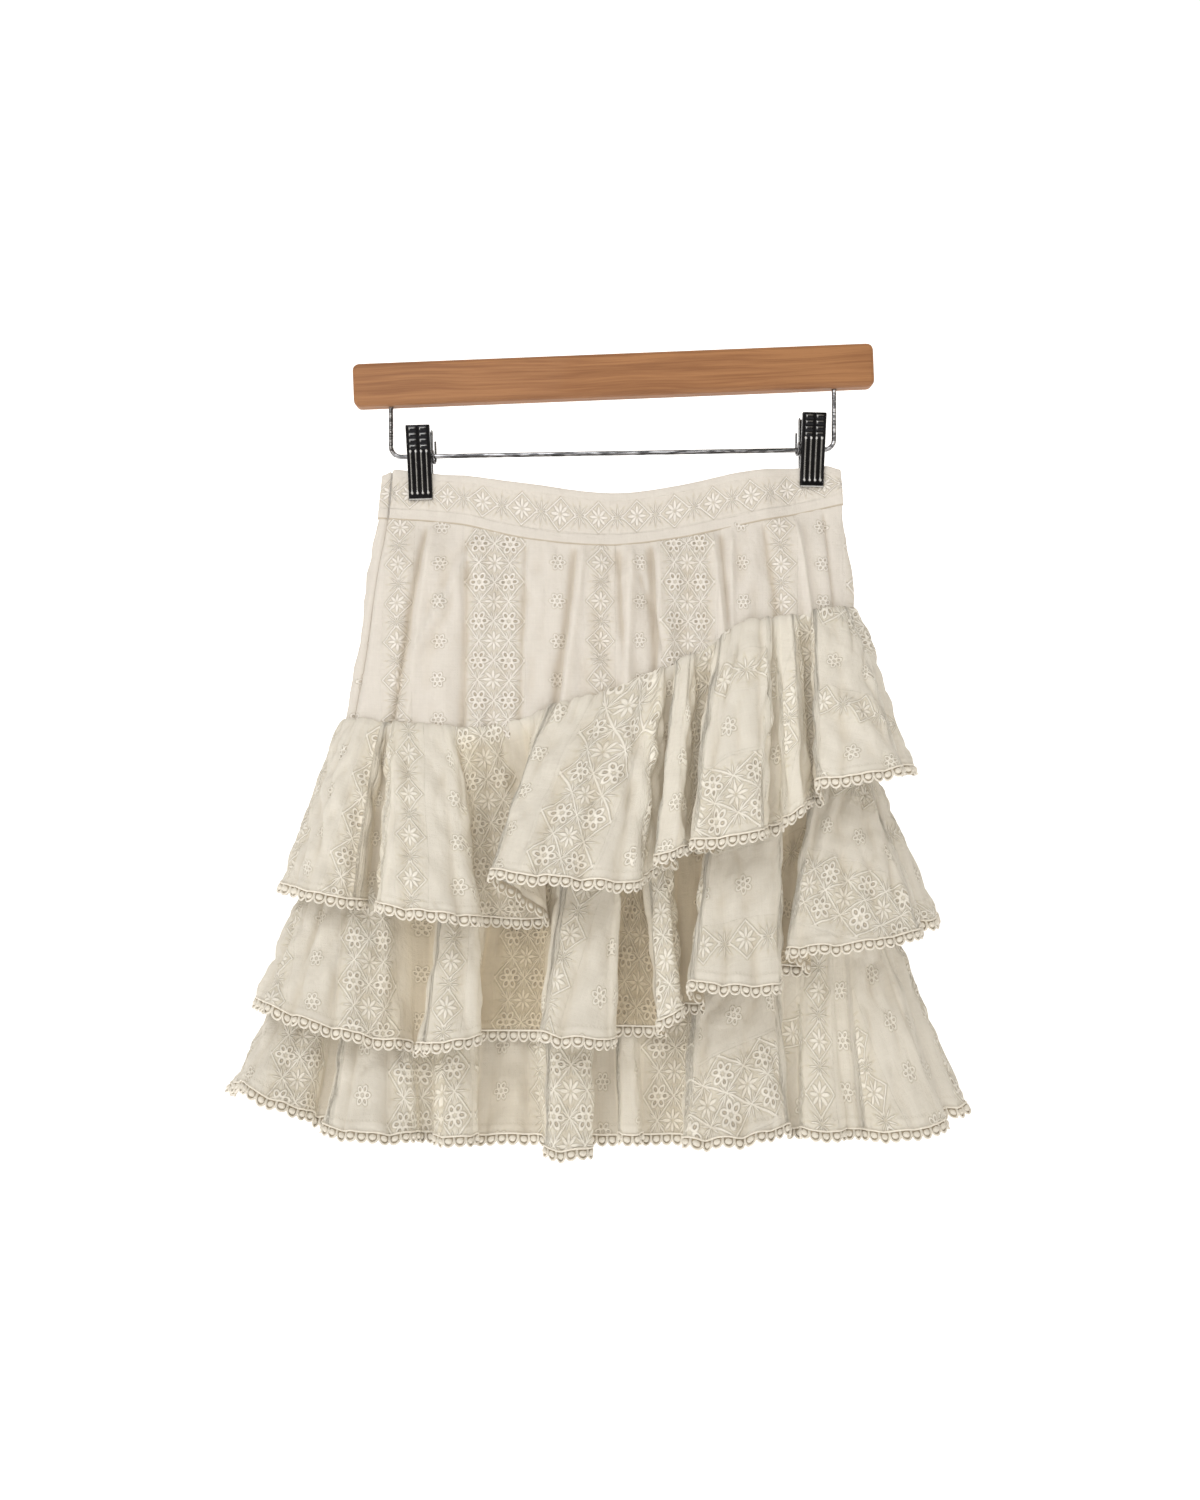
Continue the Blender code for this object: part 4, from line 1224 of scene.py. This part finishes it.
class SkirtClothSettings(bpy.types.PropertyGroup):
    cloth_colour: colour_setting("Cloth", "Colour of the cotton", (0.68, 0.641, 0.594))
    # The same cotton as the cloth, toned apart from it; the difference is painted light.
    ruffle_colour: colour_setting(
        "Ruffle cloth",
        "Colour of the ruffles' cotton, which has nothing bright behind it",
        (0.697, 0.663, 0.598),
    )
    thread_colour: colour_setting("Lace thread", "Colour of the lace", (0.93, 0.88, 0.785))
    # Partly the thread's own whiter colour and partly painted highlight on its raised lines.
    thread_lift: tone_setting(
        "Thread on cloth",
        "How much brighter an embroidered thread is than its cloth",
        (1.21, 1.22, 1.24),
    )
    # Painted shade: the darker tone beside the threads, on the stitched ground and along a ruffle's
    # stitching line.
    groove_shade: tone_setting(
        "Groove",
        "Tone of the cloth beside a thread, as a share of the cloth's own",
        (0.82, 0.79, 0.70),
    )
    # Painted shade: a warm darkening of the ruffles' hollows and of the underskirt's dips, where shade
    # falls.
    painted_hollow_shade: colour_setting(
        "Hollows",
        "Tint of the ruffles' hollows, where light has passed through several layers",
        (0.76, 0.68, 0.545),
    )
    # Painted highlight: how much the cloth is brightened on turning fold edges, side walls, crests and
    # along the seams.
    painted_highlight_lift: tone_setting(
        "Edges and crests",
        "How much brighter the cloth is where a fold turns and light shines through",
        (1.15, 1.15, 1.13),
    )
    # Painted shade: the colour in the eyelets, between the lace's satin ridges and along the
    # waistband's lower seam.
    crevice_shade_colour: colour_setting(
        "Eyelets", "Colour in the eyelets and stitched grooves", (0.44, 0.37, 0.28)
    )
    # The lace's thin ground is coloured darker than its thread as painted shade of the gaps between
    # the balls and loops.
    shaded_ground_colour: colour_setting(
        "Lace ground",
        "Colour of the thin ground between the lace's balls and loops",
        (0.58, 0.50, 0.38),
    )
    # Painted light: colour and strength of the cotton's own even glow, which stands in for light
    # passing through the thin cloth into its shade.
    painted_glow_colour: colour_setting(
        "Light through",
        "Colour of the light that has passed through the thin cotton",
        (1.0, 0.90, 0.74),
    )
    glow: strength_setting(
        "Glow", "How much light passes through the thin cotton to its shaded side", 0.07
    )
    gather_depth: length_setting("Gathers", "Depth of the fine gathers below the seams", 0.0012)
    crumple_depth: length_setting("Crumple", "Depth of the soft crumple of worn cotton", 0.0011)
    lace_pitch: length_setting("Lace pitch", "Distance between two scallops of the lace", 0.0069)


class SkirtHangerSettings(bpy.types.PropertyGroup):
    wood_colour: colour_setting("Wood", "Colour of the bar", (0.375, 0.170, 0.064))
    # Painted reflection: nearly black plating stands in for chrome that reflects a dark room.
    dark_metal: colour_setting("Dark plating", "Colour of the clips' plates", (0.018, 0.018, 0.02))
    # Painted highlights on the plates' ribs, dots, bump edges, flange edges, curls and lip.
    highlight_metal: colour_setting("Bright plating", "Colour of the plates' worn ribs", (0.6, 0.6, 0.6))
    # Painted reflection: a dark grey stands in for chrome reflecting a darker room, on the wire and
    # the springs.
    wire_metal: colour_setting("Wire", "Colour of the wire and the springs", (0.22, 0.22, 0.23))
    plate_width: length_setting("Clip width", "Width of a clip's plate", 0.0166)


class SkirtStageSettings(bpy.types.PropertyGroup):
    backdrop_colour: colour_setting("Backdrop", "Colour of the floor and backdrop", (0.96, 0.96, 0.96))
    backdrop_glow: strength_setting(
        "Backdrop glow", "How bright the backdrop is by itself", 0.6
    )
    fill: strength_setting("Fill", "Strength of the even light from all round", 0.335)
    fill_colour: colour_setting(
        "Fill colour", "Colour of the light from all round, warmed by the room", (1.0, 0.905, 0.765)
    )
    key_power: strength_setting(
        "Key light", "Power of the large soft light above the camera", 28.0, "POWER"
    )
    side_power: strength_setting(
        "Side lights",
        "Power of each of the weaker soft lights from the sides",
        9.5,
        "POWER",
    )


def settings(context):
    """The three groups of settings."""
    scene = context.scene
    return scene.skirt_cloth, scene.skirt_hanger, scene.skirt_stage


# ---------------------------------------------------------------- pieces of the skirt
class SKIRT_OT_waistband(bpy.types.Operator):
    """The shaped waistband, folded double, from one edge of the zip round to the other"""

    bl_idname = "skirt.waistband"
    bl_label = "Waistband"

    def execute(self, context):
        look, _hanger, _stage = settings(context)
        m = skirt_places(*BAND_COLUMNS, BAND_SLIT)
        columns = len(m)
        top, seam = waist_heights(m)
        offset, foot, rise, over = self.profile()
        low = seam + BAND_STRIP
        high = top - BAND_HALF
        rise = rise[:, None]
        z = np.where(rise > 0, low + (high - low) * rise, seam + foot[:, None])
        z = z + BAND_HALF * np.sin(over)[:, None]
        x, y = oval(np.mod(m, 2), z)
        nx, ny = outward(m, z)
        length = running_length(np.stack([x[0], y[0]], axis=1))
        around = np.broadcast_to(length / length[-1], z.shape)
        wave = ripple(around, -z, length[-1], 46.0, 5, 0.5) * 0.5
        wave += ripple(around, -z, length[-1], 13.0, 6, 0.6) * 0.16
        ends = np.minimum(length, length[-1] - length)
        thin = np.sqrt(np.clip(1 - (1 - np.clip(ends / 1.2, 0, 1)) ** 2, 0.01, 1))
        shift = offset[:, None] * thin + wave
        points = np.stack([x + nx * shift, y + ny * shift, z], axis=-1)
        rows = len(offset)
        faces = grid_faces(columns, rows, closed=True)[:, ::-1].tolist()
        faces += end_faces(columns, rows)
        height = np.concatenate([[0], np.cumsum(np.abs(np.diff(z, axis=0)).mean(axis=1))])
        cloth = np.empty((columns, rows + 1, 2))
        cloth[..., 0] = length[:, None]
        cloth[..., 1] = np.append(height, height[-1])[None, :] + foot[0] - BAND_STRIPE
        corners = np.vstack([turned(corner_values(cloth / 100)), np.zeros((2 * rows, 2))])
        material = cotton("band cotton", look, look.cloth_colour, lengthwise=True)
        maps = {"cloth": corners}
        piece = add_piece("waistband", points.swapaxes(0, 1), faces, material, maps)
        declare(piece, "cotton", "waistband_front", "waistband_back")
        tall = float((top - seam).mean())
        return {"FINISHED"}

    @staticmethod
    def profile():
        """The closed outline across the band, from its lower outer edge up, over and down inside:
        how far out, millimetres above the seam below the strip's upper seam, share of the way from
        there to the top, and the angle over the rounded top edge."""
        strip = np.array([-0.9, -0.3, 0.4, 1.6, 3.2, 5.0, 6.4, 7.2, 7.7])
        strip_out = np.array([0.6, 0.9, 1.0, 1.0, 1.0, 1.0, 1.0, 0.95, 0.7]) * BAND_HALF
        outer = np.array([0.012, 0.03, 0.1, 0.2, 0.3, 0.42, 0.54, 0.66, 0.78, 0.9, 1.0])
        outer_out = np.full(len(outer), BAND_HALF * 1.1)
        outer_out[0] = BAND_HALF * 0.95
        over = np.linspace(0, math.pi, 9)[1:-1]
        inner = np.linspace(1, 0.02, 8)
        inner_foot = np.array([4.0, -0.3])
        out = (strip_out, outer_out, BAND_HALF * np.cos(over), np.full(len(inner) + 2, -BAND_HALF))
        foot = (strip, 0 * outer, 0 * over, 0 * inner, inner_foot)
        rise = (0 * strip, outer, np.ones(len(over)), inner, 0 * inner_foot)
        angle = (0 * strip, 0 * outer, over, 0 * inner, 0 * inner_foot)
        return [np.concatenate(parts) for parts in (out, foot, rise, angle)]


class SKIRT_OT_underskirt(bpy.types.Operator):
    """The underskirt, gathered into the waistband, with the slit for the zip"""

    bl_idname = "skirt.underskirt"
    bl_label = "Underskirt"

    def execute(self, context):
        look, _hanger, _stage = settings(context)
        m = skirt_places(*SKIRT_COLUMNS, SKIRT_SLIT)
        _top, seam = waist_heights(m)
        share = np.linspace(0, 1, SKIRT_ROWS)[:, None] ** 1.6
        z = seam + 2.0 + (UNDERSKIRT_HEM - seam - 2.0) * share
        x, y = oval(np.mod(m, 2), z)
        nx, ny = outward(m, z)
        waist_line = np.stack([x[0], y[0]], axis=1)
        length = running_length(waist_line)
        around = np.broadcast_to(length / length[-1], z.shape)
        down = seam - z
        gather = billow(ripple(around, down, length[-1], 17.0, 21, 0.25)) * np.exp(-down / 26)
        gather *= ease(0.35 + ripple(around, 0 * down, length[-1], 110.0, 25))
        gather += 0.5 * ripple(around, down, length[-1], 31.0, 22, 0.3) * np.exp(-down / 75)
        folds = ripple(around, down, length[-1], 44.0, 23, 0.25) * ease(down / 60)
        crumple = ripple(around, down, length[-1], 20.0, 24)
        ends = np.minimum(length, length[-1] - length)
        tucked = -1.6 * np.exp(-((ends / 1.6) ** 2))
        lift = ease((down - 1.0) / 8) * (
            look.gather_depth / MM * gather * 0.9
            + 1.1 * folds
            + look.crumple_depth / MM * crumple * ease(down / 30)
        )
        lift = lift + PLEAT_DEPTH * pleats(np.mod(m, 2), x, z) * ease((down - 1.0) / 8)
        lift = lift * ease(ends / 6) + tucked
        # Painted shade and painted highlight: the tone map darkens the dips of the gathers and pleats
        # and brightens their rises.
        low, high = dips(lift, 70, 2.6)
        points = np.stack([x + nx * lift, y + ny * lift, z], axis=-1)
        front = m <= 1
        behind = grain_place(x[:, front][:, -1:]) + length - length[front][-1]
        across = np.where(front, grain_place(x), behind)
        maps = {
            "cloth": corner_values(np.stack([across, -z], axis=-1) / 100),
            "tone": corner_values(np.stack([low * 0.45, high * 0.3], axis=-1)),
        }
        material = cotton("skirt cotton", look, look.cloth_colour)
        faces = grid_faces(SKIRT_ROWS, len(m))
        piece = add_piece("underskirt", points, faces, material, maps)
        thicken(piece, FABRIC)
        declare(piece, "cotton", "underskirt_front", "underskirt_back")
        hem = running_length(points[-1])[-1]
        drop = float((seam - UNDERSKIRT_HEM).mean())
        return {"FINISHED"}


class SKIRT_OT_ruffles(bpy.types.Operator):
    """The three gathered ruffles with the lace at their hems"""

    bl_idname = "skirt.ruffles"
    bl_label = "Ruffles and lace"

    def execute(self, context):
        look, _hanger, _stage = settings(context)
        material = cotton("ruffle cotton", look, look.ruffle_colour, ruffle=True)
        lace_material = lace_thread("lace thread", look)
        for tier in TIERS:
            ring, length, knots = hem_ring(tier)
            depths = (look.gather_depth / MM, look.crumple_depth / MM)
            points, share, tones = ruffle_surface(tier, ring, length, *depths)
            from_hem = tier.depth * (1 - share) + np.zeros_like(length)
            flat = cloth_map(tier, length, knots, from_hem)
            run = np.broadcast_to(length, from_hem.shape)
            maps = {
                "cloth": corner_values(flat / 100),
                "edge": corner_values(np.stack([run, from_hem], axis=-1) / 100),
                "tone": corner_values(tones),
            }
            faces = grid_faces(RUFFLE_ROWS, RUFFLE_COLUMNS, closed=True)
            piece = add_piece(tier.name, points[:, :-1], faces, material, maps)
            thicken(piece, FABRIC)
            declare(piece, "cotton", f"{tier.name}_front", f"{tier.name}_back")
            lace = self.lace(tier, points, length, look.lace_pitch / MM, lace_material)
            tier.depth * MM
            length[-1] * tier.depth * (1 - tier.depth / BACK_RADIUS / 2) * MM * MM
        return {"FINISHED"}

    def lace(self, tier, points, length, pitch, material):
        """Lace carried along the hem: a cord on the edge, and for each scallop a satin ball and a
        corded loop round it, bent with the hem's own direction, drop and outward frame."""
        edge = points[-1, :-1]
        drop = blur(points[-1, :-1] - points[-5, :-1], 3)
        drop /= np.linalg.norm(drop, axis=1, keepdims=True)
        along = np.roll(edge, -1, 0) - np.roll(edge, 1, 0)
        along = blur(along / np.linalg.norm(along, axis=1, keepdims=True), 2)
        out = np.cross(drop, along)
        out /= np.linalg.norm(out, axis=1, keepdims=True)
        table = np.concatenate([edge, drop, out], axis=1)
        total = length[-1]

        def carried(a, b, c):
            """Points at a along the hem, b below it and c outside it."""
            found = [np.interp(a, length[:-1], table[:, k], period=total) for k in range(9)]
            place, down, side = (np.stack(found[k : k + 3], axis=-1) for k in (0, 3, 6))
            return place + down * b[..., None] + side * c[..., None]

        count = round(total / pitch)
        centres = np.arange(count) * total / count
        scallop = total / count
        verts, faces, maps = [], [], []
        start = 0
        shapes = (self.ball(), 0), (self.scallop(scallop), 0), (self.ground(scallop), GROUND_SHIFT)
        for ((a, b, c), shape_faces), shift in shapes:
            each = np.zeros((count, 1))
            verts.append(carried(centres[:, None] + a, b + each, c + each).reshape(-1, 3))
            uv = np.stack([a + shift, b], axis=-1) / 100
            for k in range(count):
                base = start + k * len(a)
                faces += [[base + i for i in face] for face in shape_faces]
            maps += [uv[[i for face in shape_faces for i in face]]] * count
            start += count * len(a)
        turn = (np.arange(6) / 6 * TAU)[:, None]
        a = length[:-1] + 0 * turn
        b, c = 0.1 + CORD_RADIUS * np.sin(turn), 0.3 + CORD_RADIUS * np.cos(turn)
        cord = carried(a, b + 0 * a, c + 0 * a)
        verts.append(cord.reshape(-1, 3))
        i, j = np.meshgrid(np.arange(6), np.arange(RUFFLE_COLUMNS), indexing="ij")
        i, i_next = i * RUFFLE_COLUMNS, (i + 1) % 6 * RUFFLE_COLUMNS
        j_next = (j + 1) % RUFFLE_COLUMNS
        quads = np.stack([i + j, i_next + j, i_next + j_next, i + j_next], axis=-1).reshape(-1, 4)
        faces += (quads + start).tolist()
        maps.append(np.zeros((quads.size, 2)))
        name = tier.name.replace("ruffle", "lace")
        piece = add_piece(name, np.vstack(verts), faces, material, {"cloth": np.vstack(maps)})
        edging = tier.name.replace("ruffle", "edging")
        declare(piece, "lace", f"{edging}_front", f"{edging}_back")
        return piece

    @staticmethod
    def ball():
        """A satin ball as a lens: four rings of eight points and two poles, in (a, b, c)."""
        wide, tall, high = BALL_SIZE
        tilt = np.radians([30, 62, 100, 145])[:, None]
        turn = np.arange(8)[None, :] / 8 * TAU
        a = (wide * np.sin(tilt) * np.cos(turn)).ravel()
        b = (BALL_DROP + tall * np.sin(tilt) * np.sin(turn)).ravel()
        c = (high * np.cos(tilt) + 0 * turn).ravel()
        a, b = np.append(a, [0, 0]), np.append(b, [BALL_DROP, BALL_DROP])
        c = np.append(c, [high, -1.0])
        faces = []
        for k in range(8):
            n = (k + 1) % 8
            faces.append((32, k, n)[::-1])
            faces += [(8 * r + k, 8 * r + 8 + k, 8 * r + 8 + n, 8 * r + n)[::-1] for r in range(3)]
            faces.append((33, 24 + n, 24 + k)[::-1])
        return (a, b, c), faces

    @staticmethod
    def ground(pitch):
        """The thin ground inside a scallop: from the hem down to the corded loop, a little behind."""
        t = np.linspace(0, math.pi, LOOP_POINTS)
        a = -(pitch / 2) * np.cos(t)
        b = 0.3 + (TRIM_DEPTH - 0.9) * np.sin(t) ** 0.75
        upper = range(LOOP_POINTS - 1)
        faces = [(k, LOOP_POINTS + k, LOOP_POINTS + k + 1, k + 1) for k in upper]
        return (np.append(a, a), np.append(0 * b, b), np.full(2 * LOOP_POINTS, -0.6)), faces

    @staticmethod
    def scallop(pitch):
        """A corded loop: a = -w cos(t), b = 0.5 + depth * sin(t)^0.75, with a round section."""
        t = np.linspace(0, math.pi, LOOP_POINTS)
        a = -(pitch / 2 - 0.1) * np.cos(t)
        b = 0.5 + (TRIM_DEPTH - 1.0) * np.sin(t) ** 0.75
        da, db = np.gradient(a), np.gradient(b)
        size = np.hypot(da, db)
        side_a, side_b = -db / size, da / size
        ring = np.arange(5)[:, None] / 5 * TAU
        verts_a = (a + LOOP_RADIUS * np.cos(ring) * side_a).T.ravel()
        verts_b = (b + LOOP_RADIUS * np.cos(ring) * side_b).T.ravel()
        verts_c = (LOOP_RADIUS * np.sin(ring) + 0 * a).T.ravel()
        faces = grid_faces(LOOP_POINTS, 5, closed=True).tolist() + end_faces(LOOP_POINTS, 5)
        return (verts_a, verts_b, verts_c), faces


# ---------------------------------------------------------------- pieces of the hanger
class SKIRT_OT_hanger(bpy.types.Operator):
    """The wooden bar, the wire and the zip's tape, which keep their solids and get their finishes"""

    bl_idname = "skirt.hanger"
    bl_label = "Hanger"

    def execute(self, context):
        cloth, look, _stage = settings(context)
        finishes = {
            "hanger_bar": wood("beech bar", look),
            "hanger_wire": chrome("drawn wire", look.wire_metal, 0.18, True),
            "side_zip": plain_tape("zip tape", cloth),
        }
        for name, material in finishes.items():
            materials = bpy.data.objects[name].data.materials
            for index in range(len(materials)):
                materials[index] = material
        return {"FINISHED"}


class SKIRT_OT_clips(bpy.types.Operator):
    """The two clips: ribbed plates front and back, and the spring between them on the wire"""

    bl_idname = "skirt.clips"
    bl_label = "Clips"

    def execute(self, context):
        _cloth, look, _stage = settings(context)
        steel = clip_steel("blackened steel", look)
        spring_steel = chrome("spring wire", look.wire_metal, 0.2)
        for clip in CLIPS:
            for side, label in ((-1, "front"), (1, "back")):
                piece = self.plate(clip, side, label, look.plate_width / MM, steel)
                declare(piece, "chrome", f"clip_{clip.side}_{label}_jaw")
            piece = self.spring(clip, spring_steel)
            declare(piece, "chrome", f"clip_{clip.side}_barrel")
        return {"FINISHED"}

    @staticmethod
    def lean(clip, x, y, z):
        """Places a point of the clip: leaned about the wire, then moved to its place on it."""
        turn = math.radians(clip.lean)
        z = z - clip.pivot_z
        placed = (
            clip.x + x * math.cos(turn) - z * math.sin(turn),
            y,
            clip.pivot_z + z * math.cos(turn) + x * math.sin(turn),
        )
        return np.stack(placed, axis=-1)

    def plate(self, clip, side, label, width, material):
        """A stamped plate: a channel section carried down a gently bent line, with four ribs that
        end in round dots and two rows of four oblong bumps as relief, and both ends curled back."""
        half = width / 2
        arc = np.linspace(0, math.pi / 2, 5)[1:]
        face_x = np.linspace(PLATE_CORNER - half, half - PLATE_CORNER, 55)
        corner_x = half - PLATE_CORNER * (1 - np.sin(arc))
        corner_back = PLATE_CORNER * (1 - np.cos(arc))
        legs = np.linspace(PLATE_CORNER, PLATE_FLANGE, 4)[1:]
        leg_x = np.full(3, half)
        x = np.concatenate([-leg_x, -corner_x[::-1], face_x, corner_x, leg_x])
        back = np.concatenate([legs[::-1], corner_back[::-1], 0 * face_x, corner_back, legs])
        tall = clip.top_z - clip.tip_z
        from_top = np.linspace(0, 1, 100)[:, None] * tall
        line_z = (0, clip.top_z - clip.pivot_z, tall - JAW_HEIGHT, tall)
        face = smooth(from_top, line_z, PLATE_OFF)
        curl = 1.6 * (1 - np.sqrt(1 - np.clip(1 - from_top / 1.6, 0, 1) ** 2))
        curl += 1.0 * (1 - np.sqrt(1 - np.clip(1 - (tall - from_top) / 1.0, 0, 1) ** 2))
        relief, shine = self.relief(x, from_top, tall)
        depth = face - curl - back + relief
        points = self.lean(clip, x + 0 * depth, side * depth, clip.top_z - from_top + 0 * depth)
        faces = grid_faces(*depth.shape)
        # Painted highlights: the stamping's shine, the flange edges, the curled ends and the bottom
        # lip.
        bright = np.maximum(shine, np.where(back >= PLATE_FLANGE - 0.8, 0.45, 0))
        bright = np.maximum(bright, np.clip(curl - 0.25, 0, 1) * 1.4)
        bright = np.maximum(bright, ease((from_top - tall + 1.3) / 0.5))
        corners = corner_values(np.stack([bright, 0 * bright], axis=-1))
        if side > 0:
            faces = faces[:, ::-1]
            corners = turned(corners)
        name = f"clip_{clip.side}_{label}_plate"
        piece = add_piece(name, points, faces, material, {"crest": corners})
        thicken(piece, PLATE_STEEL, -1)
        return piece

    @staticmethod
    def relief(x, from_top, tall):
        """Height of the stamping, with ribs as rounded ridges, dots as domes and bumps as soft
        oblongs, and where painted highlights go: the ribs' crests, the dots and the bumps' top edges."""
        relief = np.zeros((len(from_top), len(x)))
        shine = np.zeros_like(relief)
        low, high = (tall - end for end in RIB_ENDS)
        for rib in RIBS:
            inside = ease((from_top - low + 0.5) / 1.0) * ease((high + 0.5 - from_top) / 1.0)
            ridge = np.clip(1 - ((x - rib) / 0.85) ** 2, 0, 1) ** 0.5
            relief = np.maximum(relief, 0.75 * ridge * inside)
            shine = np.maximum(shine, 0.85 * np.exp(-(((x - rib + 0.1) / 0.4) ** 2)) * inside)
            for end in (low, high):
                dome = np.clip(1 - ((x - rib) / 1.15) ** 2 - ((from_top - end) / 1.15) ** 2, 0, 1)
                relief = np.maximum(relief, 1.25 * dome**0.5)
                shine = np.maximum(shine, ease(dome * 1.6))
        for centre in BUMP_COLUMNS:
            for row in BUMP_ROWS:
                across = np.clip(1 - np.abs((x - centre) / 2.7) ** 4, 0, 1)
                along = (from_top - row) / 1.35
                bump = (across * np.clip(1 - np.abs(along) ** 3, 0, 1)) ** 0.6
                relief = np.maximum(relief, bump)
                shine = np.maximum(shine, np.exp(-(((along + 0.7) / 0.3) ** 2)) * across)
                hook = ((x - centre + 1.9) / 0.45) ** 2 + ((along + 0.1) / 0.55) ** 2
                shine = np.maximum(shine, 0.8 * np.exp(-hook))
        return relief, shine

    def spring(self, clip, material):
        """A coil spring round the wire, a tube along a helix, with a straight leg up at its inner
        end."""
        steps, sides = 24, 8
        coil = np.linspace(0, 1, SPRING_TURNS * steps + 1)
        t = np.append(coil, np.ones(SPRING_LEG))
        rise = np.append(0 * coil, np.arange(1, SPRING_LEG + 1))
        inward = -math.copysign(1.0, clip.x)
        angle = t * SPRING_TURNS * TAU
        away = np.stack([0 * t, np.cos(angle), np.sin(angle)], axis=-1)
        path = SPRING_RADIUS * away
        path[:, 0] = inward * ((t - 0.5) * SPRING_LENGTH + SPRING_SHIFT)
        path[:, 2] += rise
        turn = np.arange(sides)[:, None, None] / sides * TAU
        tube = path + SPRING_WIRE * (np.cos(turn) * away + np.sin(turn) * np.array([1.0, 0, 0]))
        faces = grid_faces(len(t), sides, closed=True).tolist() + end_faces(len(t), sides)
        if inward < 0:
            faces = [face[::-1] for face in faces]
        x, y, z = np.moveaxis(tube.swapaxes(0, 1), -1, 0)
        points = self.lean(clip, x, y, z + clip.pivot_z)
        return add_piece(f"clip_{clip.side}_spring", points, faces, material)


# ---------------------------------------------------------------- stage
COOL_LIGHT = (0.965, 0.985, 1.0)
WARM_LIGHT = (1.0, 0.95, 0.865)
LIGHT_AIM = (0, 0, -0.3)
CAMERA_AWAY = 900.0
VIEW_MIDDLE = (-8.75, -276.15)  # the point of the hanger's plane that the camera faces, as (x, z)
VIEW_HEIGHT = 1050.0  # how much of that plane the view takes in from top to bottom


class SKIRT_OT_stage(bpy.types.Operator):
    """Pale floor and backdrop, soft studio light and the camera"""

    bl_idname = "skirt.stage"
    bl_label = "Stage, light and camera"

    def execute(self, context):
        _cloth, _hanger, look = settings(context)
        scene = context.scene
        scene.view_settings.view_transform = "Standard"
        y, z = self.sweep()
        x = np.linspace(-4000, 4000, 9)
        grid = np.stack(np.broadcast_arrays(x, y[:, None], z[:, None]), axis=-1)
        faces = grid_faces(len(y), len(x))
        paper = add_piece("backdrop", grid, faces, stage_paper("backdrop paper", look))

        world = bpy.data.worlds.new("studio")
        world.use_nodes = True
        background = world.node_tree.nodes["Background"]
        background.inputs["Color"].default_value = (*look.fill_colour, 1.0)
        background.inputs["Strength"].default_value = look.fill
        scene.world = world

        self.softbox("key", (-0.8, -2.0, 1.3), 1.8, look.key_power, COOL_LIGHT)
        self.softbox("right", (1.8, -1.7, 0.4), 1.6, look.side_power, WARM_LIGHT)
        self.softbox("left", (-1.9, -1.5, 0.2), 1.6, look.side_power, WARM_LIGHT)

        data = bpy.data.cameras.new("camera")
        data.sensor_fit = "AUTO"
        data.sensor_width = 36.0
        data.lens = data.sensor_width * CAMERA_AWAY / VIEW_HEIGHT
        camera = bpy.data.objects.new("camera", data)
        camera.location = (VIEW_MIDDLE[0] * MM, -CAMERA_AWAY * MM, VIEW_MIDDLE[1] * MM)
        camera.rotation_euler = (math.pi / 2, 0, 0)
        scene.collection.objects.link(camera)
        scene.camera = camera
        return {"FINISHED"}

    @staticmethod
    def sweep():
        """Floor, quarter round and wall in one line of (y, z)."""
        floor, wall, round_off = -950.0, 1900.0, 900.0
        turn = np.linspace(0, math.pi / 2, 17)
        y = np.concatenate([[-4000.0], wall - round_off + round_off * np.sin(turn), [wall]])
        z = np.concatenate([[floor], floor + round_off - round_off * np.cos(turn), [3500.0]])
        return y[::-1], z[::-1]

    @staticmethod
    def softbox(name, place, size, power, colour):
        """A square light of that size at the place, aimed at the skirt."""
        data = bpy.data.lights.new(name, "AREA")
        data.shape = "SQUARE"
        data.size = size
        data.energy = power
        data.color = colour
        lamp = bpy.data.objects.new(name, data)
        x, y, z = np.subtract(LIGHT_AIM, place)
        yaw = math.atan2(y, x) - math.pi / 2
        tilt = math.atan2(math.hypot(x, y), -z)
        lamp.location = place
        lamp.rotation_euler = (tilt, 0, yaw)
        bpy.context.scene.collection.objects.link(lamp)
        return lamp


class SKIRT_PT_panel(bpy.types.Panel):
    """Lists the settings and the pieces"""

    bl_idname = "SKIRT_PT_panel"
    bl_label = "Tiered ruffle skirt"
    bl_space_type = "VIEW_3D"
    bl_region_type = "UI"
    bl_category = "Skirt"

    def draw(self, context):
        for group in settings(context):
            box = self.layout.box()
            for name in group.__annotations__:
                box.prop(group, name)
        for operator in OPERATORS:
            self.layout.operator(operator.bl_idname)


OPERATORS = (
    SKIRT_OT_waistband,
    SKIRT_OT_underskirt,
    SKIRT_OT_ruffles,
    SKIRT_OT_hanger,
    SKIRT_OT_clips,
    SKIRT_OT_stage,
)
GROUPS = {
    "skirt_cloth": SkirtClothSettings,
    "skirt_hanger": SkirtHangerSettings,
    "skirt_stage": SkirtStageSettings,
}


def register():
    for cls in (*GROUPS.values(), *OPERATORS, SKIRT_PT_panel):
        bpy.utils.register_class(cls)
    for name, group in GROUPS.items():
        setattr(bpy.types.Scene, name, bpy.props.PointerProperty(type=group))


def unregister():
    for name in GROUPS:
        delattr(bpy.types.Scene, name)
    for cls in reversed((*GROUPS.values(), *OPERATORS, SKIRT_PT_panel)):
        bpy.utils.unregister_class(cls)


def main():
    """Makes every piece and the stage."""
    register()
    for operator in OPERATORS:
        group, name = operator.bl_idname.split(".")
        getattr(getattr(bpy.ops, group), name)()


if __name__ == "__main__":
    main()
